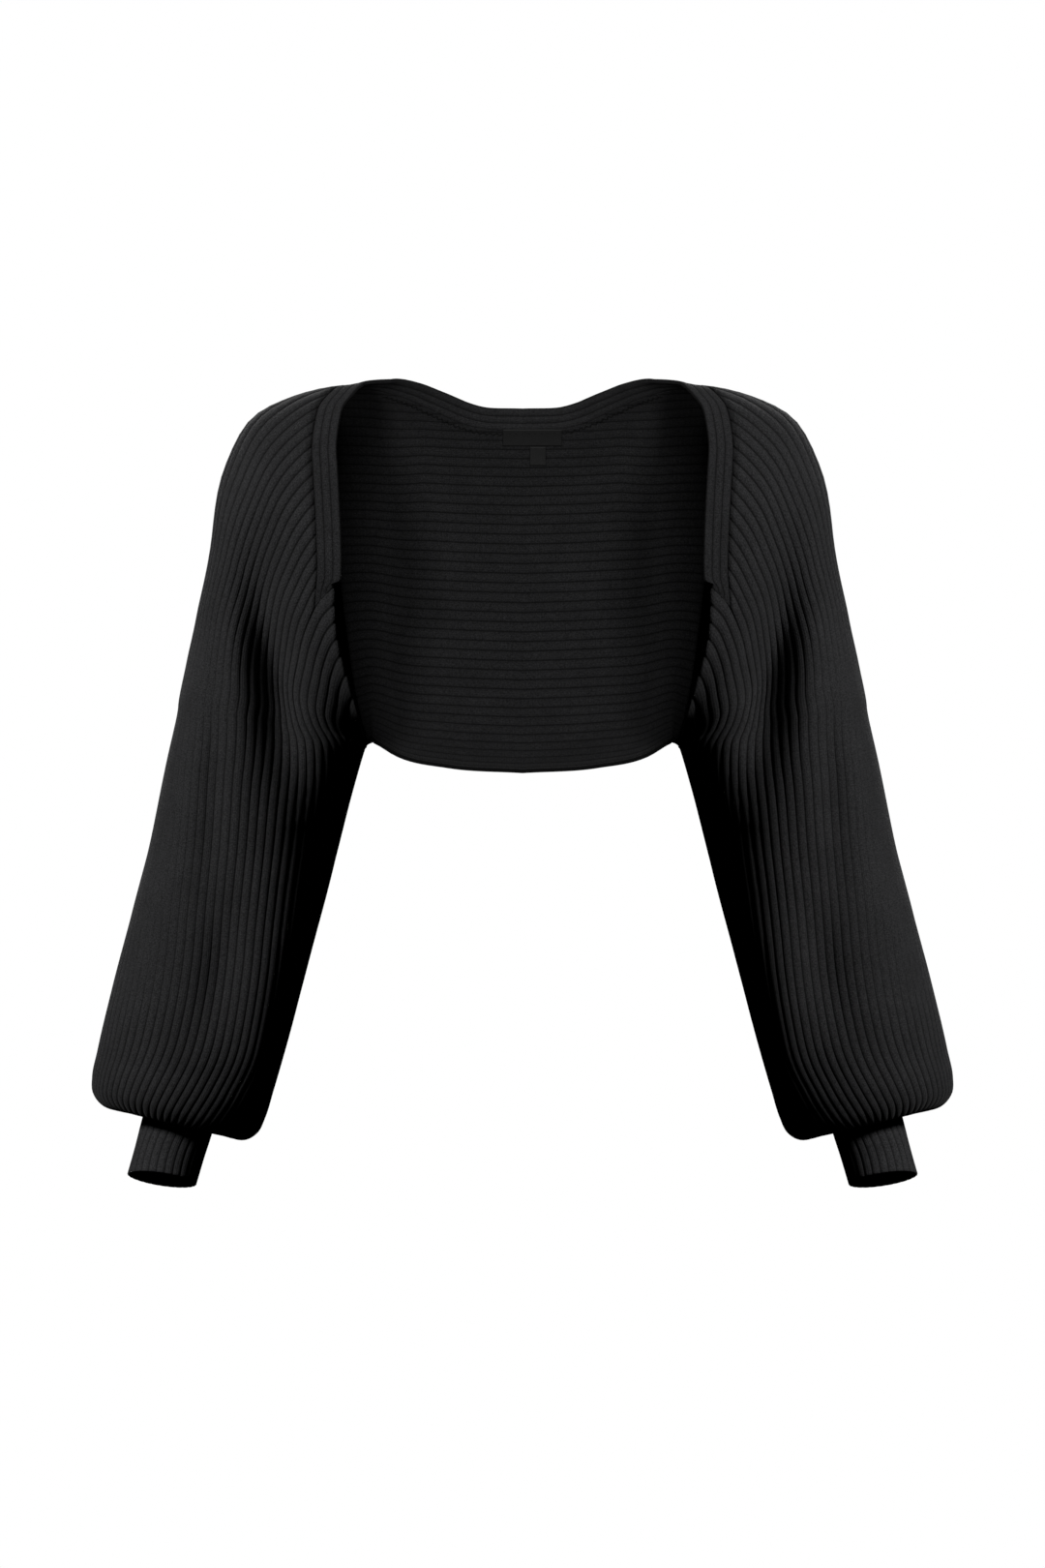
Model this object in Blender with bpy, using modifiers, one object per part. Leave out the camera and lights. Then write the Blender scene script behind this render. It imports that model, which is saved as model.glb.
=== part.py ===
"""Knitted shrug, open at the front, in the hollow form that it keeps when it is worn.

Metres, +Z up. The front faces -Y and the wearer's left is +X. The origin lies between the shoulders,
level with the point where the neck rests. Tables are in millimetres and degrees.

Every panel lies on one surface of half the garment. Two numbers name a point of it: travel, the way
from the centre back out to the shoulder and down the sleeve, and rib, the number of the knitted rib
round the sleeve, from the underarm up the back, over the arm and down the front to the underarm again.
"""
import math

import bmesh
import bpy
import numpy as np

MM = 0.001

RIBS_ROUND = 68
WALL_INSIDE = 0.7
GROOVE_OUTSIDE = 0.6
RIB_HEIGHT = 1.2
SEAM_GAP = 0.3

# The underarm pivot, outward from the centre and up from the origin, and the sleeve's lean from upright
PIVOT_OUT = 119.0
PIVOT_UP = -289.0
SLEEVE_TILT = 13.5
FAN_ANGLE = 90.0 - SLEEVE_TILT
FAN_RADIUS = 120.0

# Sections of half the garment, from the centre back to the gathered sleeve end. "flat" ones stand
# upright at a distance out from the centre, "fan" ones turn about the underarm pivot by an angle from
# upright, and "sleeve" ones cross the sleeve at a distance down it. In each one's plane, low and top
# are its ends nearest to and farthest from the pivot, and back and front are its deepest places.
# ridge is the rib that lies at the top, and spread is how much more widely ribs lie down the front.
# lean tips a section's front down, in degrees, and twist turns the ribs outward there, in ribs.
SECTION_COLUMNS = ("kind", "place", "low", "low_y", "top", "top_y", "back", "back_y",
                   "front", "front_y", "ridge", "spread", "lean", "twist")
SECTIONS = [
    ("flat", 0.0, -16.0, 52.0, 301.0, 8.0, 132.0, 112.0, 120.0, -112.0, 48.5, 0.35, 0.0, 0.0),
    ("flat", 60.0, -12.0, 46.0, 298.0, 7.0, 134.0, 108.0, 120.0, -110.0, 47.8, 0.35, 0.0, 0.0),
    ("flat", 100.0, -3.0, 24.0, 294.0, 4.0, 140.0, 96.0, 122.0, -102.0, 46.4, 0.35, 0.0, 0.0),
    ("fan", 0.0, 8.0, 8.0, 290.5, 2.0, 144.0, 88.0, 124.0, -96.0, 45.4, 0.35, 0.0, 0.0),
    ("fan", 13.0, 8.0, 0.0, 286.5, 0.0, 140.0, 84.0, 122.0, -88.0, 43.8, 0.34, 0.0, 0.0),
    ("fan", 20.0, 8.0, -2.0, 279.0, -1.0, 136.0, 83.0, 120.0, -83.0, 42.7, 0.31, 0.0, 0.0),
    ("fan", 27.0, 8.0, -3.0, 254.0, -1.0, 128.0, 82.0, 116.0, -79.0, 41.2, 0.26, 0.0, 0.0),
    ("fan", 38.0, 8.0, -4.0, 206.0, -2.0, 112.0, 79.0, 106.0, -77.0, 38.9, 0.18, 0.0, 0.0),
    ("fan", 52.0, 8.0, -4.0, 174.5, -3.0, 95.0, 76.0, 93.0, -78.0, 36.8, 0.08, 0.0, 0.0),
    ("fan", 65.0, 8.0, -4.0, 161.0, -4.0, 86.0, 73.0, 85.0, -79.0, 35.4, 0.0, 0.0, 0.0),
    ("sleeve", 0.0, 8.5, -4.0, 156.5, -4.0, 83.0, 70.0, 83.0, -79.0, 34.6, 0.0, 0.0, 0.0),
    ("sleeve", 50.0, 10.5, -6.0, 154.5, -6.0, 83.0, 68.0, 83.0, -79.0, 34.2, 0.0, 0.0, 0.0),
    ("sleeve", 110.0, 11.0, -10.0, 152.0, -10.0, 82.0, 63.0, 82.0, -81.0, 34.0, 0.0, 1.0, 0.0),
    ("sleeve", 170.0, 12.0, -15.0, 152.8, -15.0, 83.0, 57.0, 83.0, -86.0, 34.0, 0.0, 2.0, 0.0),
    ("sleeve", 230.0, 13.5, -21.0, 153.5, -21.0, 84.0, 51.0, 84.0, -92.0, 34.2, 0.0, 3.0, 0.4),
    ("sleeve", 280.0, 15.0, -26.0, 153.5, -26.0, 85.0, 46.0, 85.0, -98.0, 34.2, 0.0, 4.0, 1.5),
    ("sleeve", 302.0, 16.2, -28.0, 152.5, -28.0, 85.0, 43.0, 85.0, -99.0, 34.2, 0.0, 4.5, 2.4),
    ("sleeve", 313.5, 19.0, -29.0, 149.0, -29.0, 84.0, 36.0, 84.0, -94.0, 34.2, 0.0, 4.5, 3.0),
    ("sleeve", 320.5, 26.0, -30.0, 140.0, -30.0, 82.0, 25.0, 82.0, -84.0, 34.2, 0.0, 4.5, 3.4),
    ("sleeve", 321.5, 37.5, -30.5, 126.0, -30.5, 81.0, 13.0, 81.0, -73.0, 34.2, 0.0, 5.0, 3.8),
    ("sleeve", 317.5, 46.0, -31.0, 115.0, -31.0, 80.0, 3.0, 80.0, -64.5, 34.2, 0.0, 6.0, 4.2),
    ("sleeve", 312.5, 49.6, -31.0, 110.4, -31.0, 80.0, -1.0, 80.0, -61.0, 34.2, 0.0, 7.0, 4.4),
    ("sleeve", 305.5, 50.2, -30.5, 109.4, -30.5, 80.0, -1.5, 80.0, -59.5, 34.2, 0.0, 7.0, 4.4),
]

# Where the neck band meets the knit, from the centre back over the shoulder to the band's lower end
BAND_SEAM = [
    ("back", 0.0, -29.0), ("back", 37.0, -27.0), ("back", 53.0, -22.5),
    ("back", 71.0, -15.0), ("back", 91.0, -7.0), ("back", 108.0, -2.5), ("back", 126.0, 0.0),
    ("ridge", 141.0, 0.0),
    ("front", 153.0, -8.0), ("front", 160.0, -18.0), ("front", 163.5, -34.0), ("front", 165.0, -54.0),
    ("front", 163.5, -76.0), ("front", 162.0, -98.0), ("front", 160.5, -126.0), ("front", 160.0, -154.0),
    ("front", 161.5, -178.0),
]
# The plain lower front edge, from the band's end down to the underarm
FRONT_EDGE = [
    ("front", 147.5, -170.0), ("front", 147.0, -184.0), ("front", 145.0, -204.0), ("front", 141.5, -219.0),
    ("front", 138.0, -231.0), ("front", 134.0, -244.0), ("front", 128.5, -264.0), ("front", 125.5, -279.0),
]
UNDERARM_ANGLE = 32.0

# The seam between back and sleeve, from the underarm up the back to the shoulder
ARMHOLE_SEAM = [
    ("back", 133.0, -250.0), ("back", 141.0, -205.0), ("back", 148.0, -150.0), ("back", 152.0, -95.0),
    ("back", 151.0, -45.0), ("back", 146.0, -14.0),
]

# Troughs in the cloth, each along a bent line seen from the front: its start, middle and end as out
# and up, its depth at those three places, its half width, and the face that it lies on.
FOLD_COLUMNS = ("start", "middle", "end", "depths", "half_width", "face")
FOLDS = [
    ((214.0, -105.0), (200.0, -215.0), (176.0, -345.0), (0.0, 36.0, 4.0), 21.0, "front"),
    ((246.0, -170.0), (243.0, -300.0), (252.0, -450.0), (0.0, 5.0, 0.0), 15.0, "front"),
    ((228.0, -400.0), (234.0, -465.0), (246.0, -525.0), (0.0, 6.0, 0.0), 17.0, "front"),
    ((205.0, -110.0), (192.0, -215.0), (172.0, -330.0), (0.0, 26.0, 3.0), 22.0, "back"),
    ((240.0, -250.0), (246.0, -340.0), (258.0, -450.0), (0.0, 5.0, 0.0), 16.0, "back"),
]

BAND_WIDTH = 20.0
BAND_TAPER = 26.0
BAND_RIBS = 3
BAND_RIB_HEIGHT = 1.0

CUFF_RIBS = 26
CUFF_RIB_HEIGHT = 0.9
# Down the sleeve: how far, the middle's distance from the pivot, its depth, the radius, and the lean
CUFF_SECTIONS = [
    (305.0, 79.8, -30.5, 26.6, 7.0),
    (322.0, 80.0, -33.0, 26.6, 9.0),
    (345.0, 80.8, -37.0, 25.8, 13.0),
    (367.0, 81.6, -41.5, 25.6, 16.0),
]
# Tilt of its rim, in degrees, that lowers the side away from the body
CUFF_SIDEWAYS = 5.0

# Label and tab: width, height, thickness, the middle's place across, and the top edge's height
LABEL = (48.0, 13.0, 0.7, 8.0, -27.5)
TAB = (13.0, 15.0, 0.7, 12.5, -41.0)
TRIM_CLEARANCE = 0.7

# Travel of the rings of points down a sleeve. Those before the first whole ring crowd up to the
# sleeve's own edge, which starts nearer or farther round from rib to rib.
SLEEVE_RINGS = (145.0, 157.0, 169.0, 182.0, 197.0, 216.0, 242.0, 281.0, 370.0, 520.0, 576.0, 591.0,
                603.0, 615.0, 628.0, 641.0)
FIRST_RING = SLEEVE_RINGS[0]
WHOLE_RING = 281.0
BACK_SHARES = (0.0, 0.24, 0.47, 0.68, 0.86, 1.0)
RIB_STEP = 0.5
ARC_SAMPLES = 40
FOLD_SAMPLES = 25
SEAM_STEPS = 400

# How many ribs the ridge's blend from back to front takes
RIDGE_BLEND = 5.0
# Steps of travel and rib between which the cloth's slopes are measured
TRAVEL_SLOPE_STEP = 1.5
RIB_SLOPE_STEP = 0.2
# Ribs less than PLAIN_PITCH apart lie almost flat, and those RELIEF_SPAN farther apart stand full
PLAIN_PITCH = 2.0
RELIEF_SPAN = 4.0
LEAST_RELIEF = 0.15
# Ribs where the sleeve's plain inside has a column on every rib, because troughs or the band lie there
FINE_RIBS = ((4, 20), (44, 66))
PLATE_STEP = 8.0

COLOUR_KNIT = (0.018, 0.018, 0.019, 1.0)
COLOUR_LABEL = (0.024, 0.024, 0.025, 1.0)


def smooth(xs, ys, x):
    """Read a smooth curve through the points (xs, ys) at x."""
    xs, ys, x = (np.asarray(a, float) for a in (xs, ys, x))
    steps = np.diff(xs)
    slopes = np.diff(ys) / steps
    tangents = np.empty_like(ys)
    tangents[0], tangents[-1] = slopes[0], slopes[-1]
    tangents[1:-1] = (slopes[:-1] * steps[1:] + slopes[1:] * steps[:-1]) / (steps[:-1] + steps[1:])
    k = np.clip(np.searchsorted(xs, x) - 1, 0, len(steps) - 1)
    t = np.clip((x - xs[k]) / steps[k], 0.0, 1.0)
    a = 2 * t**3 - 3 * t**2 + 1
    b = t**3 - 2 * t**2 + t
    c = 3 * t**2 - 2 * t**3
    d = t**3 - t**2
    return a * ys[k] + b * steps[k] * tangents[k] + c * ys[k + 1] + d * steps[k] * tangents[k + 1]


def section_table():
    """Columns of SECTIONS by name, with the travel of each row and its distance down the sleeve."""
    table = {}
    for i, name in enumerate(SECTION_COLUMNS[2:]):
        table[name] = np.array([row[i + 2] for row in SECTIONS])
    travel = []
    down = []
    for i, row in enumerate(SECTIONS):
        kind, place = row[:2]
        down.append(place if kind == "sleeve" else 0.0)
        if kind == "flat":
            travel.append(place)
        elif kind == "fan":
            travel.append(PIVOT_OUT + math.radians(place) * FAN_RADIUS)
        elif place == 0.0:
            travel.append(PIVOT_OUT + math.radians(FAN_ANGLE) * FAN_RADIUS)
        else:
            narrowing = (table["low"][i] - table["low"][i - 1] + table["top"][i - 1] - table["top"][i]) / 2
            travel.append(travel[-1] + math.hypot(place - down[-2], narrowing))
    table["travel"] = np.array(travel)
    table["down"] = np.array(down)
    return table


TABLE = section_table()


def section_outline(travel):
    """In the plane of each section, points from the underarm up the back, over and down the front."""
    col = {name: smooth(TABLE["travel"], TABLE[name], travel)[:, None] for name in SECTION_COLUMNS[2:]}
    t = np.linspace(0.0, math.pi / 2, ARC_SAMPLES)[None, :]
    sin, cos = np.sin(t), np.cos(t)
    low, low_y, top, top_y = col["low"], col["low_y"], col["top"], col["top_y"]
    back, back_y, front, front_y = col["back"], col["back_y"], col["front"], col["front_y"]
    away = [back - (back - low) * cos, back + (top - back) * sin,
            front + (top - front) * cos, front - (front - low) * sin]
    depth = [low_y + (back_y - low_y) * sin, top_y + (back_y - top_y) * cos,
             top_y + (front_y - top_y) * sin, low_y + (front_y - low_y) * cos]
    away, depth = np.concatenate(away, axis=1), np.concatenate(depth, axis=1)
    length = np.hypot(np.diff(away, axis=1), np.diff(depth, axis=1)).cumsum(axis=1)
    length = np.concatenate([np.zeros((len(length), 1)), length], axis=1)
    return away, depth, length, col


def length_of_rib(rib, length, col):
    """How far along each section's outline a rib lies."""
    back_length = length[:, 2 * ARC_SAMPLES - 1]
    front_length = length[:, -1] - back_length
    ridge, spread = col["ridge"][:, 0], col["spread"][:, 0]
    share = np.clip((rib - ridge) / (RIBS_ROUND - ridge), 0.0, 1.0)
    down_front = back_length + front_length * ((1 - spread) * share + spread * share**2)
    return np.where(rib <= ridge, back_length * rib / ridge, down_front)


def fold_depth(out, up, front_share):
    """How far back the troughs move the cloth at places seen from the front, less than 0 on the back."""
    total = np.zeros_like(out)
    t = np.linspace(0.0, 1.0, FOLD_SAMPLES)
    for start, middle, end, depths, half_width, face in FOLDS:
        line = [(1 - t) ** 2 * a + 2 * t * (1 - t) * b + t**2 * c for a, b, c in zip(start, middle, end)]
        far = np.hypot(out[:, None] - line[0], up[:, None] - line[1])
        near = far.argmin(axis=1)
        depth = smooth((0.0, 0.5, 1.0), depths, t[near])
        trough = depth * np.exp(-((far.min(axis=1) / half_width) ** 2))
        total += trough * front_share if face == "front" else -trough * (1 - front_share)
    return total


def form(travel, rib):
    """Points in mm on the middle of the cloth, for arrays of travel and rib."""
    travel, rib = np.broadcast_arrays(np.asarray(travel, float), np.asarray(rib, float))
    shape = travel.shape
    travel, rib = travel.ravel(), rib.ravel()
    away, depth, length, col = section_outline(travel)
    at = length_of_rib(rib, length, col) - col["twist"][:, 0] * length[:, -1] / RIBS_ROUND
    at = np.where(at < 0.0, at + length[:, -1], at)
    k = np.clip((length < at[:, None]).sum(axis=1), 1, length.shape[1] - 1)
    row = np.arange(len(k))
    span = np.maximum(length[row, k] - length[row, k - 1], 1e-9)
    t = np.clip((at - length[row, k - 1]) / span, 0.0, 1.0)
    r = away[row, k - 1] + t * (away[row, k] - away[row, k - 1])
    y = depth[row, k - 1] + t * (depth[row, k] - depth[row, k - 1])
    turn = np.clip((travel - PIVOT_OUT) / FAN_RADIUS, 0.0, math.radians(FAN_ANGLE))
    down = smooth(TABLE["travel"], TABLE["down"], travel)
    down = down + (y - col["low_y"][:, 0]) * np.tan(np.radians(col["lean"][:, 0]))
    tilt = math.radians(SLEEVE_TILT)
    out = np.minimum(travel, PIVOT_OUT) + down * math.sin(tilt) + r * np.sin(turn)
    up = PIVOT_UP - down * math.cos(tilt) + r * np.cos(turn)
    past_ridge = np.clip((rib - col["ridge"][:, 0]) / RIDGE_BLEND + 0.5, 0.0, 1.0)
    front_share = past_ridge**2 * (3 - 2 * past_ridge)
    y = y + fold_depth(out, up, front_share)
    return np.stack([out, y, up], axis=1).reshape(shape + (3,))


def form_and_normal(travel, rib):
    """Points and outward normals of the cloth."""
    travel, rib = np.broadcast_arrays(np.asarray(travel, float), np.asarray(rib, float))
    along = form(travel + TRAVEL_SLOPE_STEP, rib) - form(travel - TRAVEL_SLOPE_STEP, rib)
    after = form(travel, np.minimum(rib + RIB_SLOPE_STEP, RIBS_ROUND))
    before = form(travel, np.maximum(rib - RIB_SLOPE_STEP, 0.0))
    normal = np.cross(after - before, along)
    normal /= np.linalg.norm(normal, axis=-1, keepdims=True)
    return form(travel, rib), normal


def locate(rows):
    """Travel and rib of places given as (face, out, up)."""
    found = []
    for face, out, up in rows:
        if out < PIVOT_OUT:
            travel, r = out, up - PIVOT_UP
        else:
            travel = PIVOT_OUT + math.atan2(out - PIVOT_OUT, up - PIVOT_UP) * FAN_RADIUS
            r = math.hypot(out - PIVOT_OUT, up - PIVOT_UP)
        away, _, length, col = section_outline(np.array([travel]))
        away, length = away[0], length[0]
        ridge, spread = col["ridge"][0, 0], col["spread"][0, 0]
        half = 2 * ARC_SAMPLES
        if face == "ridge":
            rib = ridge
        elif face == "back":
            rib = ridge * np.interp(r, away[:half], length[:half]) / length[half - 1]
        else:
            share = np.interp(-r, -away[half:], length[half:]) - length[half - 1]
            share /= length[-1] - length[half - 1]
            share = (-(1 - spread) + math.sqrt((1 - spread) ** 2 + 4 * spread * share)) / (2 * spread)
            rib = ridge + share * (RIBS_ROUND - ridge)
        found.append((travel, rib))
    return found


def seam_curve(places):
    """Even steps of travel and rib along a smooth curve through places on the cloth."""
    travel, rib = np.array(places).T
    chords = np.linalg.norm(np.diff(form(travel, rib), axis=0), axis=1)
    walked = np.concatenate([[0.0], chords.cumsum()])
    even = np.linspace(0.0, walked[-1], SEAM_STEPS)
    return smooth(walked, travel, even), smooth(walked, rib, even)


BAND_PLACES = locate(BAND_SEAM)
EDGE_PLACES = locate(FRONT_EDGE)
ARMHOLE_PLACES = locate(ARMHOLE_SEAM)
SHOULDER_ROW = [row[0] for row in BAND_SEAM].index("ridge")
SHOULDER_RIB = BAND_PLACES[SHOULDER_ROW][1]
NECK_TRAVEL, NECK_RIB = seam_curve(BAND_PLACES[:SHOULDER_ROW + 1])
BAND_END_RIB = (BAND_PLACES[-1][1] + EDGE_PLACES[0][1]) / 2
UNDERARM_TRAVEL = PIVOT_OUT + math.radians(UNDERARM_ANGLE) * FAN_RADIUS


def through(places, rib):
    """Travel of a seam or edge at each rib, from its places in order of rib."""
    return smooth([rib_there for _, rib_there in places], [travel for travel, _ in places], rib)


def band_travel(rib):
    """Travel of the band's seam at each rib, round the back neck and then down the front."""
    front = through(BAND_PLACES[SHOULDER_ROW:], rib)
    return np.where(rib < SHOULDER_RIB, np.interp(rib, NECK_RIB, NECK_TRAVEL), front)


def sleeve_travel(rib):
    """Where the sleeve piece starts: along the armhole, the band seam and the front edge."""
    armhole = [(UNDERARM_TRAVEL, 0.0)] + ARMHOLE_PLACES + [BAND_PLACES[SHOULDER_ROW]]
    edge = through(EDGE_PLACES + [(UNDERARM_TRAVEL, float(RIBS_ROUND))], rib)
    past_shoulder = np.where(rib < BAND_END_RIB, band_travel(rib), edge)
    return np.where(rib < SHOULDER_RIB, through(armhole, rib), past_shoulder)


def step_back(travel, rib, distance):
    """Change of travel that moves a point by a real distance along its rib."""
    stretch = np.linalg.norm(form(travel + 1.0, rib) - form(travel - 1.0, rib), axis=-1) / 2
    return distance / np.maximum(stretch, 0.02)


def wall_points(travel, rib, height):
    """Outer points, raised at the crowns of the ribs, and plain inner points."""
    middle, normal = form_and_normal(travel, rib)
    crown = np.abs(np.round(rib * 2) % 2)
    outer = middle + normal * (GROOVE_OUTSIDE + height * crown)[..., None]
    return outer, middle - normal * WALL_INSIDE


def stitch(first, second, first_keys, second_keys):
    """Triangles between two rows of points whose keys run over the same span."""
    faces = []
    i = j = 0
    while i < len(first) - 1 or j < len(second) - 1:
        a = first_keys[i + 1] if i < len(first) - 1 else math.inf
        b = second_keys[j + 1] if j < len(second) - 1 else math.inf
        if a <= b:
            faces.append((first[i], first[i + 1], second[j]))
            i += 1
        else:
            faces.append((first[i], second[j + 1], second[j]))
            j += 1
    return faces


def grid_faces(index):
    """Quads over a grid of vertex numbers."""
    return [(index[i][j], index[i][j + 1], index[i + 1][j + 1], index[i + 1][j])
            for i in range(len(index) - 1) for j in range(len(index[0]) - 1)]


def closed_wall(name, outer, inner, outer_ribs, inner_ribs, round_closed, open_start=None):
    """A wall between an outer and an inner grid of points, its edges joined all round."""
    mesh = bpy.data.meshes.new(name)
    build = bmesh.new()
    points = [build.verts.new(p * MM) for p in np.concatenate([outer.reshape(-1, 3), inner.reshape(-1, 3)])]
    rows, cols = outer.shape[:2]
    first = [[i * cols + j for j in range(cols)] for i in range(rows)]
    base, inner_cols = rows * cols, inner.shape[1]
    second = [[base + i * inner_cols + j for j in range(inner_cols)] for i in range(rows)]
    outer_keys, inner_keys = list(outer_ribs), list(inner_ribs)
    if round_closed:
        first = [row + row[:1] for row in first]
        second = [row + row[:1] for row in second]
        outer_keys.append(RIBS_ROUND)
        inner_keys.append(RIBS_ROUND)
    faces = grid_faces(first) + [face[::-1] for face in grid_faces(second)]
    start = 0 if open_start is None else outer_keys.index(open_start)
    inner_start = 0 if open_start is None else inner_keys.index(open_start)
    faces += stitch(first[0][start:], second[0][inner_start:], outer_keys[start:], inner_keys[inner_start:])
    faces += [face[::-1] for face in stitch(first[-1], second[-1], outer_keys, inner_keys)]
    if not round_closed:
        for side in (0, -1):
            edge = [(first[i][side], second[i][side], second[i + 1][side], first[i + 1][side])
                    for i in range(rows - 1)]
            faces += edge if side == 0 else [face[::-1] for face in edge]
    for face in faces:
        build.faces.new([points[k] for k in face])
    bmesh.ops.triangulate(build, faces=build.faces[:])
    bmesh.ops.recalc_face_normals(build, faces=build.faces[:])
    build.to_mesh(mesh)
    build.free()
    return mesh


def material(name, colour, roughness):
    made = bpy.data.materials.new(name)
    made.use_nodes = True
    shader = made.node_tree.nodes["Principled BSDF"]
    shader.inputs["Base Color"].default_value = colour
    shader.inputs["Roughness"].default_value = roughness
    shader.inputs["Metallic"].default_value = 0.0
    return made


def add_object(name, mesh, finish, collection):
    made = bpy.data.objects.new(name, mesh)
    made.data.materials.append(finish)
    collection.objects.link(made)
    return made


def mirrored(points):
    return points * np.array([-1.0, 1.0, 1.0])


def back_panel(knit, collection):
    """The back: half of it as an open wall, mirrored at the centre."""
    neck_rib = math.floor(BAND_PLACES[0][1] / RIB_STEP) * RIB_STEP
    last_rib = math.floor(SHOULDER_RIB / RIB_STEP) * RIB_STEP
    ribs = np.arange(0.0, last_rib + RIB_STEP / 2, RIB_STEP)
    plain_ribs = np.arange(0.0, last_rib + RIB_STEP / 2, 4 * RIB_STEP)
    plain_ribs = np.concatenate([plain_ribs, np.arange(neck_rib, last_rib + RIB_STEP / 2, RIB_STEP)])
    start = np.where(ribs <= neck_rib, 0.0, band_travel(ribs))
    start = np.where(ribs <= neck_rib, 0.0, start + step_back(start, ribs, SEAM_GAP / 2))
    end = sleeve_travel(ribs)
    end = end - step_back(end, ribs, SEAM_GAP / 2)
    shares = np.array(BACK_SHARES)[:, None]
    travel = start + (end - start) * shares
    outer, inner = wall_points(travel, np.broadcast_to(ribs, travel.shape), RIB_HEIGHT)
    on_centre = ribs <= neck_rib
    outer[0, on_centre, 0] = 0.0
    inner[0, on_centre, 0] = 0.0
    keep = np.isin(ribs, plain_ribs)
    mesh = closed_wall("back_panel", outer, inner[:, keep], ribs, ribs[keep], False, neck_rib)
    made = add_object("back_panel", mesh, knit, collection)
    whole = made.modifiers.new("both_sides", "MIRROR")
    whole.use_axis = (True, False, False)
    whole.merge_threshold = 0.0001
    return made


def sleeve_travels(ribs):
    """Travel of the sleeve's rings of points at each rib."""
    start = sleeve_travel(ribs)
    start = start + step_back(start, ribs, SEAM_GAP / 2)
    rows = []
    for ring in SLEEVE_RINGS:
        if ring < WHOLE_RING:
            rows.append(start + (WHOLE_RING - start) * (ring - FIRST_RING) / (WHOLE_RING - FIRST_RING))
        else:
            rows.append(np.full_like(start, ring))
    return np.array(rows)


def sleeve(name, side, knit, collection):
    """A sleeve with its shoulder and front, from the seams to its gathered end."""
    ribs = np.arange(0.0, RIBS_ROUND, RIB_STEP)
    travel = sleeve_travels(ribs)
    pitch = np.linalg.norm(form(travel, ribs + 0.5) - form(travel, np.maximum(ribs - 0.5, 0.0)), axis=-1)
    height = RIB_HEIGHT * np.clip((pitch - PLAIN_PITCH) / RELIEF_SPAN, LEAST_RELIEF, 1.0)
    outer, inner = wall_points(travel, np.broadcast_to(ribs, travel.shape), height)
    if side < 0:
        outer, inner = mirrored(outer), mirrored(inner)
    fine = np.any([(ribs >= first) & (ribs <= last) for first, last in FINE_RIBS], axis=0)
    band_end = np.abs(ribs - BAND_END_RIB) < RIB_STEP
    keep = (ribs % 2 == 0) | (fine & (ribs % 1 == 0)) | band_end
    mesh = closed_wall(name, outer, inner[:, keep], ribs, ribs[keep], True)
    return add_object(name, mesh, knit, collection)


def band_line():
    """The seam line of the neck band from the centre back to its right-hand end, with its last slant."""
    neck_rib = math.floor(BAND_PLACES[0][1] / RIB_STEP) * RIB_STEP
    ribs = np.arange(neck_rib, BAND_END_RIB, RIB_STEP)
    travel = band_travel(ribs)
    travel[0] = 0.0
    points, normals = form_and_normal(travel, ribs)
    points[0, 0] = 0.0
    normals[0, 0] = 0.0
    first_edge_rib = ribs[-1] + RIB_STEP
    edge = form(sleeve_travel(np.array([first_edge_rib])), np.array([first_edge_rib]))[0]
    return points, normals, edge - points[-1]


def neck_band(knit, collection):
    """One strip with three ribs, along the seam line and mirrored across the centre back."""
    points, normals, slant = band_line()
    flip = np.array([-1.0, 1.0, 1.0])
    line = np.concatenate([(points * flip)[:0:-1], points])
    normal = np.concatenate([(normals * flip)[:0:-1], normals])
    normal /= np.linalg.norm(normal, axis=1, keepdims=True)
    tangent = np.gradient(line, axis=0)
    tangent /= np.linalg.norm(tangent, axis=1, keepdims=True)
    across = np.cross(tangent, normal)
    across *= np.sign(across[len(points) - 1, 2])
    walked = np.concatenate([[0.0], np.linalg.norm(np.diff(points, axis=0), axis=1).cumsum()])
    left = walked[-1] - walked
    near_end = np.clip(1 - left / BAND_TAPER, 0.0, 1.0)
    near_end = near_end**2 * (3 - 2 * near_end)
    near_end = np.concatenate([near_end[:0:-1], near_end])[:, None]
    end_across = np.stack([slant * flip if i < len(points) - 1 else slant for i in range(len(line))])
    reach = across * BAND_WIDTH * (1 - near_end) + end_across * near_end
    places = np.linspace(0.0, 1.0, 2 * BAND_RIBS + 1)
    height = GROOVE_OUTSIDE + BAND_RIB_HEIGHT * (np.arange(2 * BAND_RIBS + 1) % 2)
    gap = SEAM_GAP / np.linalg.norm(reach, axis=1)[:, None, None]
    share = gap + (1 - gap) * places[None, :, None]
    base = line[:, None, :] + reach[:, None, :] * share
    outer = base + normal[:, None, :] * height[None, :, None]
    inner = base[:, [0, -1]] - normal[:, None, :] * WALL_INSIDE
    shift = -tangent * np.where(np.arange(len(line)) < len(points), -1.0, 1.0)[:, None] * SEAM_GAP
    for row in (0, -1):
        outer[row] += shift[row]
        inner[row] += shift[row]
    mesh = closed_wall("neck_band", outer, inner, list(places), [0.0, 1.0], False)
    return add_object("neck_band", mesh, knit, collection)


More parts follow.
